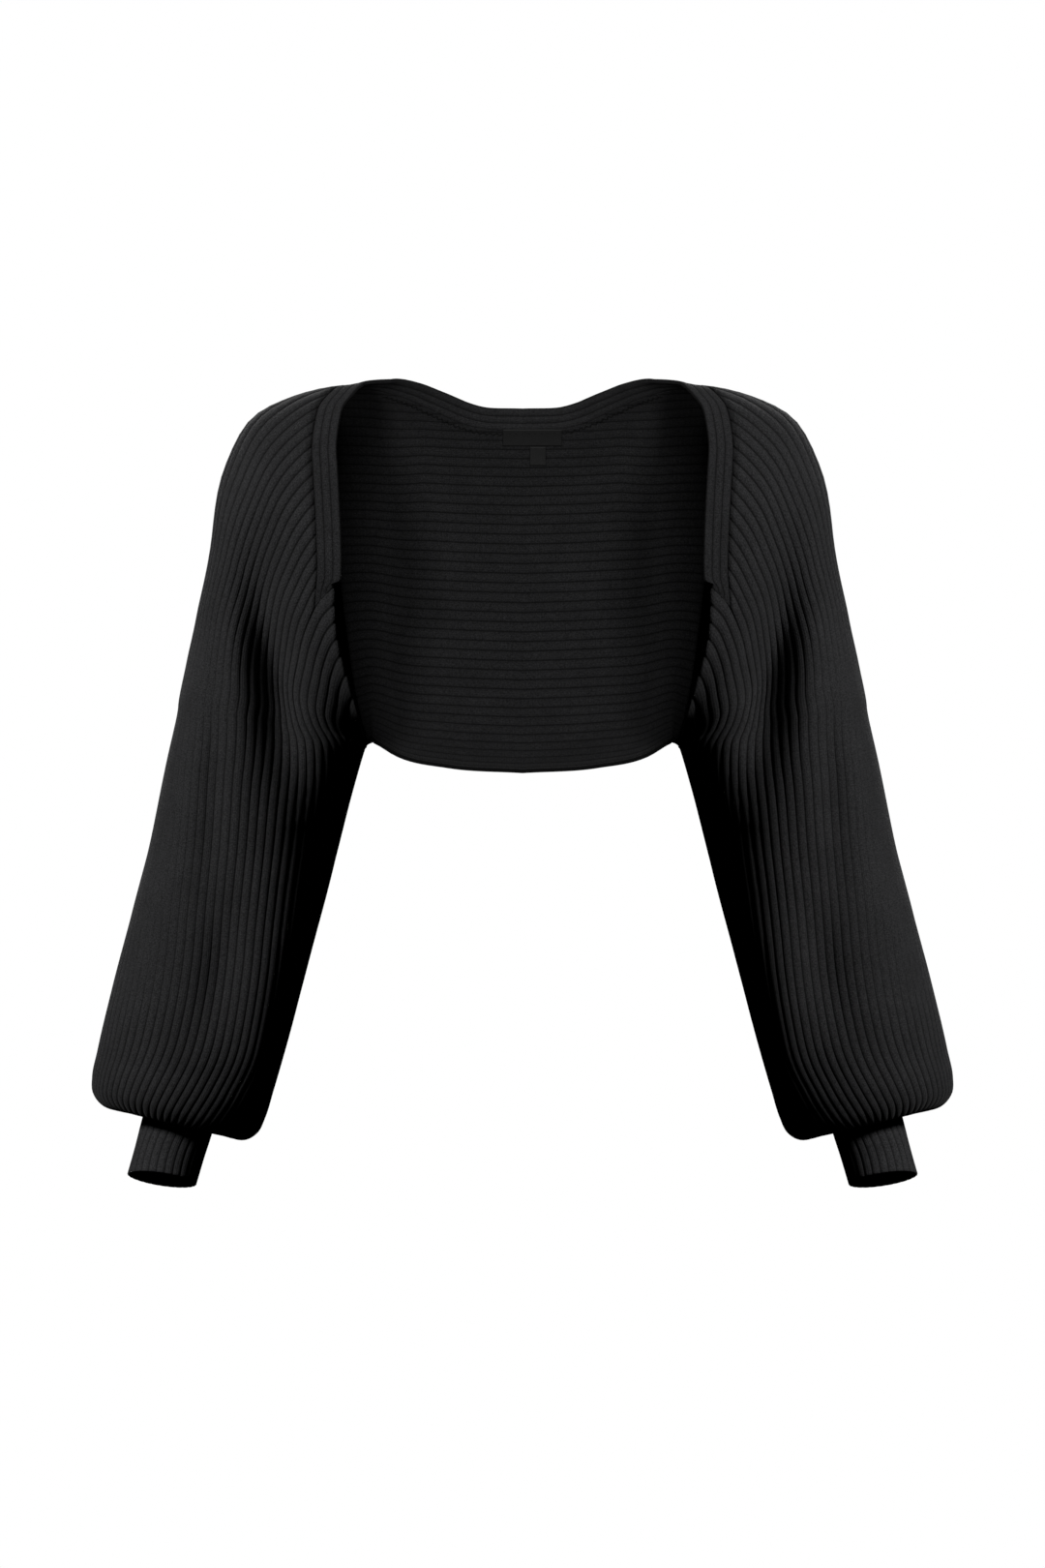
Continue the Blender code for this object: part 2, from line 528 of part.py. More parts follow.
def cuff(name, side, knit, collection):
    """A ribbed tube that starts inside the fold of the sleeve's end."""
    turns = np.linspace(0.0, 2 * math.pi, 2 * CUFF_RIBS, endpoint=False)
    tilt = math.radians(SLEEVE_TILT)
    fan = math.radians(FAN_ANGLE)
    outer_drop = math.tan(math.radians(CUFF_SIDEWAYS))
    rings = {}
    for layer, offset in (("outer", GROOVE_OUTSIDE), ("inner", -WALL_INSIDE)):
        rows = []
        for down, away, depth, radius, lean in CUFF_SECTIONS:
            crown = CUFF_RIB_HEIGHT * (np.arange(2 * CUFF_RIBS) % 2) if layer == "outer" else 0.0
            r = radius + offset + crown
            sideways, forward = r * np.cos(turns), r * np.sin(turns)
            along = down + forward * math.tan(math.radians(lean)) + sideways * outer_drop
            out = PIVOT_OUT + along * math.sin(tilt) + (away + sideways) * math.sin(fan)
            up = PIVOT_UP - along * math.cos(tilt) + (away + sideways) * math.cos(fan)
            rows.append(np.stack([side * out, depth + forward, up], axis=1))
        rings[layer] = np.array(rows)
    keys = np.arange(2 * CUFF_RIBS) * RIBS_ROUND / (2 * CUFF_RIBS)
    mesh = closed_wall(name, rings["outer"], rings["inner"][:, ::2], keys, keys[::2], True)
    return add_object(name, mesh, knit, collection)


def trim_plate(name, size, finish, collection, lift):
    """A thin plate that follows the inside of the back."""
    width, height, thickness, middle, top = size
    across = np.linspace(middle - width / 2, middle + width / 2, round(width / PLATE_STEP) + 1)
    layers = []
    for depth in (lift, lift + thickness):
        rows = []
        for up in (top, top - height / 2, top - height):
            row = []
            for x in across:
                travel, rib = locate([("back", abs(x), up)])[0]
                point, normal = form_and_normal(np.array([travel]), np.array([rib]))
                place = point[0] - normal[0] * (WALL_INSIDE + depth)
                row.append([math.copysign(place[0], x) if x else 0.0, place[1], place[2]])
            rows.append(row)
        layers.append(np.array(rows))
    keys = list(range(len(across)))
    mesh = closed_wall(name, layers[1], layers[0], keys, keys, False)
    return add_object(name, mesh, finish, collection)


def clear_scene():
    for item in list(bpy.data.objects):
        bpy.data.objects.remove(item, do_unlink=True)


def build_shrug():
    clear_scene()
    collection = bpy.data.collections.new("knitted_shrug")
    bpy.context.scene.collection.children.link(collection)
    knit = material("rib_knit", COLOUR_KNIT, 0.9)
    ribbing = material("ribbed_trim", COLOUR_KNIT, 0.9)
    woven = material("woven_label", COLOUR_LABEL, 0.7)
    back_panel(knit, collection)
    for hand, side in (("left", 1), ("right", -1)):
        sleeve(hand + "_sleeve", side, knit, collection)
        cuff(hand + "_cuff", side, ribbing, collection)
    neck_band(ribbing, collection)
    trim_plate("neck_label", LABEL, woven, collection, TRIM_CLEARANCE)
    trim_plate("size_tab", TAB, woven, collection, TRIM_CLEARANCE)


build_shrug()
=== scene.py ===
"""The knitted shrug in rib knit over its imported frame, with a pale floor, soft light and a camera."""

import math

import bmesh
import bpy
import numpy as np
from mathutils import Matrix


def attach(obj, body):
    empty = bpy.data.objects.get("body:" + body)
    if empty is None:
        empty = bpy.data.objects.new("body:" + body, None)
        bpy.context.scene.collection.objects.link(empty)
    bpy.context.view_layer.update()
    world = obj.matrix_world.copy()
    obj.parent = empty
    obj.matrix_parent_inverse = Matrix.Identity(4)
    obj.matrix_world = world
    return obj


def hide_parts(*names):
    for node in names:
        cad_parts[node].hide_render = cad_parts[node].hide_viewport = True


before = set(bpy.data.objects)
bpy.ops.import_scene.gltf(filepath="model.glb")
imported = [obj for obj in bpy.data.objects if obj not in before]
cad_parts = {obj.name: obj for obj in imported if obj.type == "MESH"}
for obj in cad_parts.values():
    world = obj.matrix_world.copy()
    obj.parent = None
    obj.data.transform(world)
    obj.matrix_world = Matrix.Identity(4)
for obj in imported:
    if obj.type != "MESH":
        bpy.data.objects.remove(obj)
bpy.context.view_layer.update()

MM = 0.001
# Turns a place on the left half into its fellow on the right
TO_OTHER_SIDE = np.array([-1.0, 1.0, 1.0])

# Lengths are in mm unless a comment says otherwise. From the middle of the cloth the wall reaches in
# by WALL_INSIDE and out by GROOVE_OUTSIDE, and its ribs are raised farther, less on the inside.
RIBS_ROUND = 68
WALL_INSIDE = 0.7
GROOVE_OUTSIDE = 0.9
RIB_HEIGHT = 1.3
REVERSE_HEIGHT = 0.6
# Where columns of points lie across a rib, and the power that makes its crown flat
RIB_SHARES = (0.0, 0.08, 0.24, 0.5, 0.76, 0.92)
RIB_FLATNESS = 4.5
# No column lies nearer than this to the first and last one, in ribs
COLUMN_GAP = 0.02

# The underarm pivot, outward from the centre and up from the origin, and the sleeve's lean from upright
PIVOT_OUT = 119.0
PIVOT_UP = -289.0
SLEEVE_TILT = 13.5
FAN_ANGLE = 90.0 - SLEEVE_TILT
FAN_RADIUS = 120.0

# Sections of half the garment, from the centre back to the gathered sleeve end. "flat" ones stand
# upright at a distance out from the centre, "fan" ones turn about the underarm pivot by an angle from
# upright, and "sleeve" ones cross the sleeve at a distance down it. In each one's plane, low and top
# are its ends nearest to and farthest from the pivot, and back and front are its deepest places.
# ridge is the rib that lies at the top, and spread is how much more widely ribs lie down the front.
# lean tips a section's front down, in degrees, and twist turns the ribs outward there, in ribs.
SECTION_COLUMNS = ("kind", "place", "low", "low_y", "top", "top_y", "back", "back_y",
                   "front", "front_y", "ridge", "spread", "lean", "twist")
SECTIONS = [
    ("flat", 0.0, -16.0, 52.0, 301.0, 8.0, 132.0, 112.0, 120.0, -112.0, 48.5, 0.35, 0.0, 0.0),
    ("flat", 60.0, -12.0, 46.0, 298.0, 7.0, 134.0, 108.0, 120.0, -110.0, 47.8, 0.35, 0.0, 0.0),
    ("flat", 100.0, -3.0, 24.0, 294.0, 4.0, 140.0, 96.0, 122.0, -102.0, 46.4, 0.35, 0.0, 0.0),
    ("fan", 0.0, 8.0, 8.0, 290.5, 2.0, 144.0, 88.0, 124.0, -96.0, 45.4, 0.35, 0.0, 0.0),
    ("fan", 13.0, 8.0, 0.0, 286.5, 0.0, 140.0, 84.0, 122.0, -88.0, 43.8, 0.34, 0.0, 0.0),
    ("fan", 20.0, 8.0, -2.0, 279.0, -1.0, 136.0, 83.0, 120.0, -83.0, 42.7, 0.31, 0.0, 0.0),
    ("fan", 27.0, 8.0, -3.0, 254.0, -1.0, 128.0, 82.0, 116.0, -79.0, 41.2, 0.26, 0.0, 0.0),
    ("fan", 38.0, 8.0, -4.0, 206.0, -2.0, 112.0, 79.0, 106.0, -77.0, 38.9, 0.18, 0.0, 0.0),
    ("fan", 52.0, 8.0, -4.0, 174.5, -3.0, 95.0, 76.0, 93.0, -78.0, 36.8, 0.08, 0.0, 0.0),
    ("fan", 65.0, 8.0, -4.0, 161.0, -4.0, 86.0, 73.0, 85.0, -79.0, 35.4, 0.0, 0.0, 0.0),
    ("sleeve", 0.0, 8.5, -4.0, 156.5, -4.0, 83.0, 70.0, 83.0, -79.0, 34.6, 0.0, 0.0, 0.0),
    ("sleeve", 50.0, 10.5, -6.0, 154.5, -6.0, 83.0, 68.0, 83.0, -79.0, 34.2, 0.0, 0.0, 0.0),
    ("sleeve", 110.0, 11.0, -10.0, 152.0, -10.0, 82.0, 63.0, 82.0, -81.0, 34.0, 0.0, 1.0, 0.0),
    ("sleeve", 170.0, 12.0, -15.0, 152.8, -15.0, 83.0, 57.0, 83.0, -86.0, 34.0, 0.0, 2.0, 0.0),
    ("sleeve", 230.0, 13.5, -21.0, 153.5, -21.0, 84.0, 51.0, 84.0, -92.0, 34.2, 0.0, 3.0, 0.4),
    ("sleeve", 280.0, 15.0, -26.0, 153.5, -26.0, 85.0, 46.0, 85.0, -98.0, 34.2, 0.0, 4.0, 1.5),
    ("sleeve", 302.0, 16.2, -28.0, 152.5, -28.0, 85.0, 43.0, 85.0, -99.0, 34.2, 0.0, 4.5, 2.4),
    ("sleeve", 313.5, 19.0, -29.0, 149.0, -29.0, 84.0, 36.0, 84.0, -94.0, 34.2, 0.0, 4.5, 3.0),
    ("sleeve", 320.5, 26.0, -30.0, 140.0, -30.0, 82.0, 25.0, 82.0, -84.0, 34.2, 0.0, 4.5, 3.4),
    ("sleeve", 321.5, 37.5, -30.5, 126.0, -30.5, 81.0, 13.0, 81.0, -73.0, 34.2, 0.0, 5.0, 3.8),
    ("sleeve", 317.5, 46.0, -31.0, 115.0, -31.0, 80.0, 3.0, 80.0, -64.5, 34.2, 0.0, 6.0, 4.2),
    ("sleeve", 312.5, 49.6, -31.0, 110.4, -31.0, 80.0, -1.0, 80.0, -61.0, 34.2, 0.0, 7.0, 4.4),
    ("sleeve", 305.5, 50.2, -30.5, 109.4, -30.5, 80.0, -1.5, 80.0, -59.5, 34.2, 0.0, 7.0, 4.4),
]

# Where the neck band meets the knit, from the centre back over the shoulder to the band's lower end
BAND_SEAM = [
    ("back", 0.0, -29.0), ("back", 37.0, -27.0), ("back", 53.0, -22.5),
    ("back", 71.0, -15.0), ("back", 91.0, -7.0), ("back", 108.0, -2.5), ("back", 126.0, 0.0),
    ("ridge", 141.0, 0.0),
    ("front", 153.0, -8.0), ("front", 160.0, -18.0), ("front", 163.5, -34.0), ("front", 165.0, -54.0),
    ("front", 163.5, -76.0), ("front", 162.0, -98.0), ("front", 160.5, -126.0), ("front", 160.0, -154.0),
    ("front", 161.5, -178.0),
]
# The plain lower front edge, from the band's end down to the underarm
FRONT_EDGE = [
    ("front", 148.5, -150.0), ("front", 147.5, -170.0), ("front", 147.0, -184.0),
    ("front", 145.0, -204.0), ("front", 141.5, -219.0), ("front", 138.0, -231.0),
    ("front", 134.0, -244.0), ("front", 128.5, -264.0), ("front", 125.5, -279.0),
]
# Where the armhole and the front edge meet at the underarm, as an angle of the fan
UNDERARM_ANGLE = 32.0

# How many ribs' widths farther round the knit's ribs run than their even places. Over chest and
# shoulder there is a row for each travel, with a column for each rib number of SHIFTED_RIBS. Farther
# down the sleeve every rib turns alike, by a travel and a shift.
SHIFTED_RIBS = (0.0, 20.0, 40.0, 45.0, 50.0, 55.0, 60.0, 64.0, 68.0)
CHEST_SHIFTS = [
    (80.0, 0.0, 0.0, 0.0, 0.0, 0.0, 0.0, 0.0, 0.0, 0.0),
    (119.0, 0.0, 0.0, 0.0, 1.6, 1.8, 0.8, -0.4, -1.0, 0.0),
    (145.0, 0.0, 0.0, 0.4, 2.4, 2.0, 0.9, -0.4, -1.2, 0.0),
    (165.0, 0.0, 0.0, 0.9, 2.6, 2.1, 0.9, -0.7, -1.4, 0.0),
    (180.0, 0.0, -0.1, 0.4, 1.5, 1.1, -0.1, -1.4, -1.8, 0.0),
    (195.0, -0.3, -0.3, -0.6, -0.4, -0.6, -1.3, -2.4, -2.4, -0.3),
    (215.0, -1.2, -1.0, -1.8, -2.2, -2.2, -2.4, -3.6, -3.3, -1.2),
    (240.0, -2.2, -2.0, -2.6, -3.0, -3.1, -3.2, -4.6, -4.2, -2.2),
    (265.0, -3.0, -3.0, -3.0, -3.1, -3.1, -3.3, -4.6, -4.3, -3.0),
    (290.0, -3.0, -3.0, -3.0, -3.0, -3.0, -3.1, -3.5, -3.4, -3.0),
]
SLEEVE_SHIFTS = [
    (317.0, -2.3), (347.0, -1.7), (378.0, -1.1), (408.0, -0.5), (438.0, 0.2), (469.0, 1.1),
    (499.0, 1.9), (522.0, 2.5), (545.0, 3.0), (575.0, 3.2),
]

# Where the knit is stretched almost smooth: travel, rib, its reach along both, and how much. Some of
# its relief is always left.
LEAST_RELIEF = 0.1
SMOOTH_PLACES = [
    (262.0, 45.0, 42.0, 6.0, 0.85),
    (340.0, 41.5, 55.0, 7.0, 0.85),
    (430.0, 41.5, 55.0, 8.0, 0.85),
    (500.0, 42.0, 35.0, 8.0, 0.5),
]

# The seam between back and sleeve, from the underarm up the back to the shoulder
ARMHOLE_SEAM = [
    ("back", 133.0, -250.0), ("back", 141.0, -205.0), ("back", 148.0, -150.0), ("back", 152.0, -95.0),
    ("back", 151.0, -45.0), ("back", 146.0, -14.0),
]

# Troughs in the cloth, each along a bent line seen from the front: its start, middle and end as out
# and up, its depth at those three places, less than 0 for a ridge, its half width, and the face that
# it lies on. The frame's solids have the first five as well, the second of them a little wider,
# shallower and farther out. The others only show here.
FOLDS = [
    ((214.0, -105.0), (200.0, -215.0), (176.0, -345.0), (0.0, 36.0, 4.0), 21.0, "front"),
    ((240.0, -150.0), (238.0, -300.0), (248.0, -450.0), (0.0, 5.5, 0.0), 11.0, "front"),
    ((228.0, -400.0), (234.0, -465.0), (246.0, -525.0), (0.0, 6.0, 0.0), 17.0, "front"),
    ((205.0, -110.0), (192.0, -215.0), (172.0, -330.0), (0.0, 26.0, 3.0), 22.0, "back"),
    ((240.0, -250.0), (246.0, -340.0), (258.0, -450.0), (0.0, 5.0, 0.0), 16.0, "back"),
    ((196.0, -370.0), (196.0, -458.0), (196.0, -550.0), (0.0, -9.0, -9.0), 26.0, "front"),
    ((192.0, -185.0), (182.0, -245.0), (144.0, -286.0), (0.0, 9.0, 6.0), 16.0, "front"),
    ((140.0, -286.0), (140.0, -340.0), (152.0, -440.0), (12.0, 26.0, 0.0), 33.0, "front"),
]

# The band's two ends turn along the front edge over the last of its length, the taper. Its first
# share of width is left open at the seam.
BAND_WIDTH = 20.0
BAND_TAPER = 26.0
BAND_RIBS = 3
BAND_RIB_HEIGHT = 1.0
BAND_ROWS = 190
BAND_SEAM_SHARE = 0.01

CUFF_RIBS = 26
CUFF_RIB_HEIGHT = 0.9
CUFF_RIB_POINTS = 8
CUFF_ROWS = 36
# Down the sleeve: how far, the middle's distance from the pivot, its depth, the radius, and the lean
CUFF_SECTIONS = [
    (305.0, 79.8, -30.5, 26.6, 7.0),
    (322.0, 80.0, -33.0, 26.6, 9.0),
    (345.0, 80.8, -37.0, 25.8, 13.0),
    (367.0, 81.6, -41.5, 25.6, 16.0),
]
# Tilt of its rim, in degrees, that lowers the side away from the body
CUFF_SIDEWAYS = 5.0
# How its ribs sway as they go down: by how many ribs, from which distance down, and its radian's length
CUFF_SWAY = (0.35, 330.0, 14.0)

# The zigzag of linking yarn inside the back neck: its step along the seam, how far below the seam it
# swings, the yarn's radius and sides, how far it stands off the ribs, and how far from the centre
# back it shows
LINKING_STEP = 2.6
LINKING_SWINGS = (2.2, 4.6)
LINKING_RADIUS = 0.55
LINKING_SIDES = 6
LINKING_LIFT = 0.35
LINKING_REACH = 128.0

# Label and tab: width, height, thickness, the middle's place across, and the top edge's height. They
# stand off the grooves inside the back by the clearance.
LABEL = (48.0, 13.0, 0.7, 8.0, -27.5)
TAB = (13.0, 15.0, 0.7, 12.5, -41.0)
TRIM_CLEARANCE = 0.7

# Travel of the first whole ring of the sleeve, of the start of its gathers, and of its end
WHOLE_RING = 281.0
GATHERED_RING = 561.0
END_RING = 641.0
NEAR_ROWS = 38
ROW_STEP = 4.0
GATHERED_ROWS = 34
BACK_ROWS = 42
# The back ends this much of a rib short of the shoulder, and the band's end is a step this wide
SHOULDER_GAP = 0.05
BAND_END_STEP = 0.01
# In metres: points of the back's two halves that are merged, and those that lie on the centre plane,
# are no farther apart than this
MERGE_DISTANCE = 0.00005
ON_CENTRE = 1e-7

ARC_SAMPLES = 60
FOLD_SAMPLES = 160
LOCATE_SAMPLES = 800
# Widths in ribs over which troughs fade out at the top of the sleeve and at the underarm
RIDGE_BLEND = 5.0
UNDERARM_BLEND = 3.0
# How much flatter than an ellipse the sleeve's sections are in front and behind
SLEEVE_FLATNESS = 0.22
# Stretches of travel with soft ends: where each starts, its rise, where it ends, and its fall
FLATTER_STRETCH = (220.0, 70.0, 585.0, 60.0)
WAVY_STRETCH = (170.0, 60.0, 630.0, 30.0)
# Small waves over the sleeve: height, travel to a radian, radians to a rib, and offset
WAVES = [(0.12, 19.0, 0.37, 0.0), (0.08, 12.5, -0.61, 1.3), (0.14, 31.0, 1.27, 0.4)]
TABLE_TRAVEL_STEP = 1.5
TABLE_RIB_STEP = 0.25
# Keeps a place in the last cell of a table
LAST_CELL = 1.001

# How far each rib's tip stands out from the lower front edge
SCALLOP = 1.8
# Where the sleeve's ribs crowd together they are lower: none of their height at the plain pitch, all of
# it where they are wider by the span, and never less than the least share
PLAIN_PITCH = 1.5
RELIEF_SPAN = 4.0
LEAST_RIB_SHARE = 0.25

# One stitch: its height along the rib in mm, how many stand side by side in a rib, and its slant
STITCH_LENGTH = 1.9
STITCHES_IN_RIB = 4.0
STITCH_SLANT = 1.1
# The yarn's surface: shares of stitch rows, round wales and fuzz, then depth in metres and strength
YARN_SHARES = (0.45, 0.4, 0.5)
YARN_DEPTH = 0.0005
YARN_STRENGTH = 0.7
# The power that narrows the painted shade to the middle of each groove
PAINTED_GROOVE_SHARPNESS = 5.0
# Noise scales of the broad patches, the specks and the fuzz, and the shades that the middle range of
# their noise gives
PATCH_SCALE = 34.0
SPECK_SCALE = 900.0
FUZZ_SCALE = 2600.0
NOISE_RANGE = (0.3, 0.7)
PATCH_SHADES = (0.9, 1.1)
SPECK_SHADES = (0.45, 1.55)
# The yarn's height sets its colour: painted shade in the hollows between stitch rows and wales and painted
# light on their crowns, with the fuzz noise as uneven tone
STITCH_SHADE_AND_FUZZ_TONES = (0.72, 1.12)
STITCH_RANGE = (0.1, 1.1)
# Base grey of the two knits, and how strongly the painted shade darkens their grooves
RIB_KNIT = (0.026, 0.85)
# The trim's grey is lighter than the rib knit's: painted light that makes up for the shade on the band and
# cuffs
RIBBED_TRIM = (0.034, 0.75)
# The label tape's grey, its threads, and its own and the floor's unevenness
LABEL_GREY = 0.02
THREAD_SPACING = 0.35
THREAD_DEPTH = 0.0001
THREAD_STRENGTH = 0.4
THREAD_SHADES = (0.94, 1.06)
TAPE_SCALE = 120.0
TAPE_SHADES = (0.95, 1.05)
FLOOR_SCALE = 3.0
FLOOR_SHADES = (0.78, 0.82)

# The camera stands level in front, in metres. One pixel of the photo is 0.77 mm, and it is 1620 high.
CAMERA_DISTANCE = 4.0
CAMERA_UP = -0.3157
SENSOR_SIZE = 36.0
PHOTO_HEIGHT = 1620 * 0.77 * MM

# Soft lights in metres and watts: name, place, aim, width and height, power, and the group of pieces
# that each lights. Those at the sides are made for the left and mirrored for the right, and "own" is
# that side's sleeve and cuff.
SIDE_LIGHTS = [
    ("key", (2.37, -2.19, 1.2), (0.25, 0.0, -0.35), (0.5, 0.5), 84.0, "own"),
    ("back", (0.9, 2.8, 1.9), (0.2, 0.0, -0.3), (1.2, 1.2), 60.0, "own"),
    ("front", (1.2, -3.2, 0.3), (0.0, 0.0, -0.2), (0.45, 0.45), 27.0, "middle"),
    ("band", (2.45, -2.0, 1.9), (0.15, 0.0, -0.2), (0.9, 0.9), 25.0, "band"),
]
MIDDLE_LIGHTS = [
    ("rear_middle", (0.0, 3.0, 0.8), (0.0, 0.0, -0.2), (1.6, 1.2), 60.0, "middle"),
    ("floor_light", (0.0, 0.0, 3.6), (0.0, 0.01, -1.4), (5.0, 5.0), 700.0, "ground"),
]
# A board on the centre line that keeps each side's light on its own side: its corners as y and z
CENTRE_FLAG = [(-3.2, -0.9), (-0.255, -0.9), (-0.255, 0.02), (-3.2, 0.02)]
FLOOR_UP = -1.4
FLOOR_RADIUS = 2.7
FLOOR_CORNERS = 128


def smooth(xs, ys, x):
    """Read a smooth curve through the points (xs, ys) at x."""
    xs, ys, x = (np.asarray(a, float) for a in (xs, ys, x))
    steps = np.diff(xs)
    slopes = np.diff(ys) / steps
    tangents = np.empty_like(ys)
    tangents[0], tangents[-1] = slopes[0], slopes[-1]
    tangents[1:-1] = (slopes[:-1] * steps[1:] + slopes[1:] * steps[:-1]) / (steps[:-1] + steps[1:])
    k = np.clip(np.searchsorted(xs, x) - 1, 0, len(steps) - 1)
    t = np.clip((x - xs[k]) / steps[k], 0.0, 1.0)
    a = 2 * t**3 - 3 * t**2 + 1
    b = t**3 - 2 * t**2 + t
    c = 3 * t**2 - 2 * t**3
    d = t**3 - t**2
    return a * ys[k] + b * steps[k] * tangents[k] + c * ys[k + 1] + d * steps[k] * tangents[k + 1]


def ease(t):
    """0 to 1 with soft ends."""
    t = np.clip(t, 0.0, 1.0)
    return t * t * (3 - 2 * t)


def within(stretch, travel):
    """1 inside a stretch of travel and 0 outside it, with soft ends."""
    start, rise, end, fall = stretch
    return ease((travel - start) / rise) * ease((end - travel) / fall)


def unit(vectors):
    """The vectors at length 1."""
    return vectors / np.linalg.norm(vectors, axis=-1, keepdims=True)


def walked_length(points):
    """How far along a row of points each one lies."""
    return np.concatenate([[0.0], np.linalg.norm(np.diff(points, axis=0), axis=1).cumsum()])


def flipped(points):
    """The points' fellows on the other side."""
    return points * TO_OTHER_SIDE


def both_sides(row):
    """A row that starts at the centre, with its fellow on the right before it."""
    return np.concatenate([flipped(row[:0:-1]), row])


def section_table():
    """Columns of SECTIONS by name, with the travel of each row and its distance down the sleeve."""
    table = {}
    for i, name in enumerate(SECTION_COLUMNS[2:]):
        table[name] = np.array([row[i + 2] for row in SECTIONS])
    travel = []
    down = []
    for i, row in enumerate(SECTIONS):
        kind, place = row[:2]
        down.append(place if kind == "sleeve" else 0.0)
        if kind == "flat":
            travel.append(place)
        elif kind == "fan":
            travel.append(PIVOT_OUT + math.radians(place) * FAN_RADIUS)
        elif place == 0.0:
            travel.append(PIVOT_OUT + math.radians(FAN_ANGLE) * FAN_RADIUS)
        else:
            narrowing = table["low"][i] - table["low"][i - 1] + table["top"][i - 1] - table["top"][i]
            travel.append(travel[-1] + math.hypot(place - down[-2], narrowing / 2))
    table["travel"] = np.array(travel)
    table["down"] = np.array(down)
    return table


TABLE = section_table()
SHIFT_ROWS = CHEST_SHIFTS + [(travel,) + (shift,) * len(SHIFTED_RIBS) for travel, shift in SLEEVE_SHIFTS]
SHIFTS = np.array(SHIFT_ROWS)


def section_outline(travel):
    """In the plane of each section, points from the underarm up the back, over and down the front."""
    col = {name: smooth(TABLE["travel"], TABLE[name], travel)[:, None] for name in SECTION_COLUMNS[2:]}
    t = np.linspace(0.0, math.pi / 2, ARC_SAMPLES)[None, :]
    fullness = 1.0 - SLEEVE_FLATNESS * within(FLATTER_STRETCH, np.asarray(travel, float)[:, None])
    sin, cos = np.sin(t) ** fullness, np.cos(t) ** fullness
    low, low_y, top, top_y = col["low"], col["low_y"], col["top"], col["top_y"]
    back, back_y, front, front_y = col["back"], col["back_y"], col["front"], col["front_y"]
    away = [back - (back - low) * cos, back + (top - back) * sin,
            front + (top - front) * cos, front - (front - low) * sin]
    depth = [low_y + (back_y - low_y) * sin, top_y + (back_y - top_y) * cos,
             top_y + (front_y - top_y) * sin, low_y + (front_y - low_y) * cos]
    away, depth = np.concatenate(away, axis=1), np.concatenate(depth, axis=1)
    length = np.hypot(np.diff(away, axis=1), np.diff(depth, axis=1)).cumsum(axis=1)
    length = np.pad(length, ((0, 0), (1, 0)))
    return away, depth, length, col


def rib_shift(travel, ribs):
    """How many ribs' widths farther round each rib runs at a travel than its even place."""
    there = [float(smooth(SHIFTS[:, 0], SHIFTS[:, k + 1], travel)) for k in range(len(SHIFTED_RIBS))]
    return smooth(SHIFTED_RIBS, there, ribs)


def length_of_ribs(ribs, length, ridge, spread):
    """How far along one section's outline each rib lies."""
    back_length = length[2 * ARC_SAMPLES - 1]
    front_length = length[-1] - back_length
    share = np.clip((ribs - ridge) / (RIBS_ROUND - ridge), 0.0, 1.0)
    down_front = back_length + front_length * ((1 - spread) * share + spread * share**2)
    return np.where(ribs <= ridge, back_length * ribs / ridge, down_front)


def fold_depth(out, up, front_share):
    """How far back the troughs move the cloth at places seen from the front, less than 0 on the back."""
    total = np.zeros_like(out)
    t = np.linspace(0.0, 1.0, FOLD_SAMPLES)
    for start, middle, end, depths, half_width, face in FOLDS:
        line = [(1 - t) ** 2 * a + 2 * t * (1 - t) * b + t**2 * c for a, b, c in zip(start, middle, end)]
        far = np.hypot(out[:, None] - line[0], up[:, None] - line[1])
        near = far.argmin(axis=1)
        depth = smooth((0.0, 0.5, 1.0), depths, t[near])
        trough = depth * np.exp(-((far.min(axis=1) / half_width) ** 2))
        total += trough * front_share if face == "front" else -trough * (1 - front_share)
    return total


def surface_tables():
    """Points and outward normals of the cloth over a fine grid of travel and rib."""
    travels = np.arange(0.0, END_RING + 2 * TABLE_TRAVEL_STEP, TABLE_TRAVEL_STEP)
    ribs = np.arange(0.0, RIBS_ROUND + TABLE_RIB_STEP / 2, TABLE_RIB_STEP)
    away, depth, length, col = section_outline(travels)
    down = smooth(TABLE["travel"], TABLE["down"], travels)
    tilt = math.radians(SLEEVE_TILT)
    points = np.empty((len(travels), len(ribs), 3))
    for i, travel in enumerate(travels):
        named = {name: values[i, 0] for name, values in col.items()}
        even = ribs + rib_shift(travel, ribs)
        even = np.where(even < 0.0, even + RIBS_ROUND, np.where(even > RIBS_ROUND, even - RIBS_ROUND, even))
        at = length_of_ribs(even, length[i], named["ridge"], named["spread"])
        at = at - named["twist"] * length[i, -1] / RIBS_ROUND
        at = np.where(at < 0.0, at + length[i, -1], at)
        r = np.interp(at, length[i], away[i])
        y = np.interp(at, length[i], depth[i])
        turn = min(max((travel - PIVOT_OUT) / FAN_RADIUS, 0.0), math.radians(FAN_ANGLE))
        along = down[i] + (y - named["low_y"]) * math.tan(math.radians(named["lean"]))
        out = min(travel, PIVOT_OUT) + along * math.sin(tilt) + r * math.sin(turn)
        up = PIVOT_UP - along * math.cos(tilt) + r * math.cos(turn)
        front_share = ease((even - named["ridge"]) / RIDGE_BLEND + 0.5)
        off_underarm = ease(np.minimum(even, RIBS_ROUND - even) / UNDERARM_BLEND)
        points[i] = np.stack([out, y + fold_depth(out, up, front_share) * off_underarm, up], axis=1)
    along = np.gradient(points, axis=0)
    across = np.gradient(points, axis=1)
    across[:, 0] = across[:, -1] = points[:, 1] - points[:, 0] + points[:, -1] - points[:, -2]
    normals = np.cross(across, along)
    normals /= np.maximum(np.linalg.norm(normals, axis=-1, keepdims=True), 1e-9)
    return points, normals


POINTS, NORMALS = surface_tables()


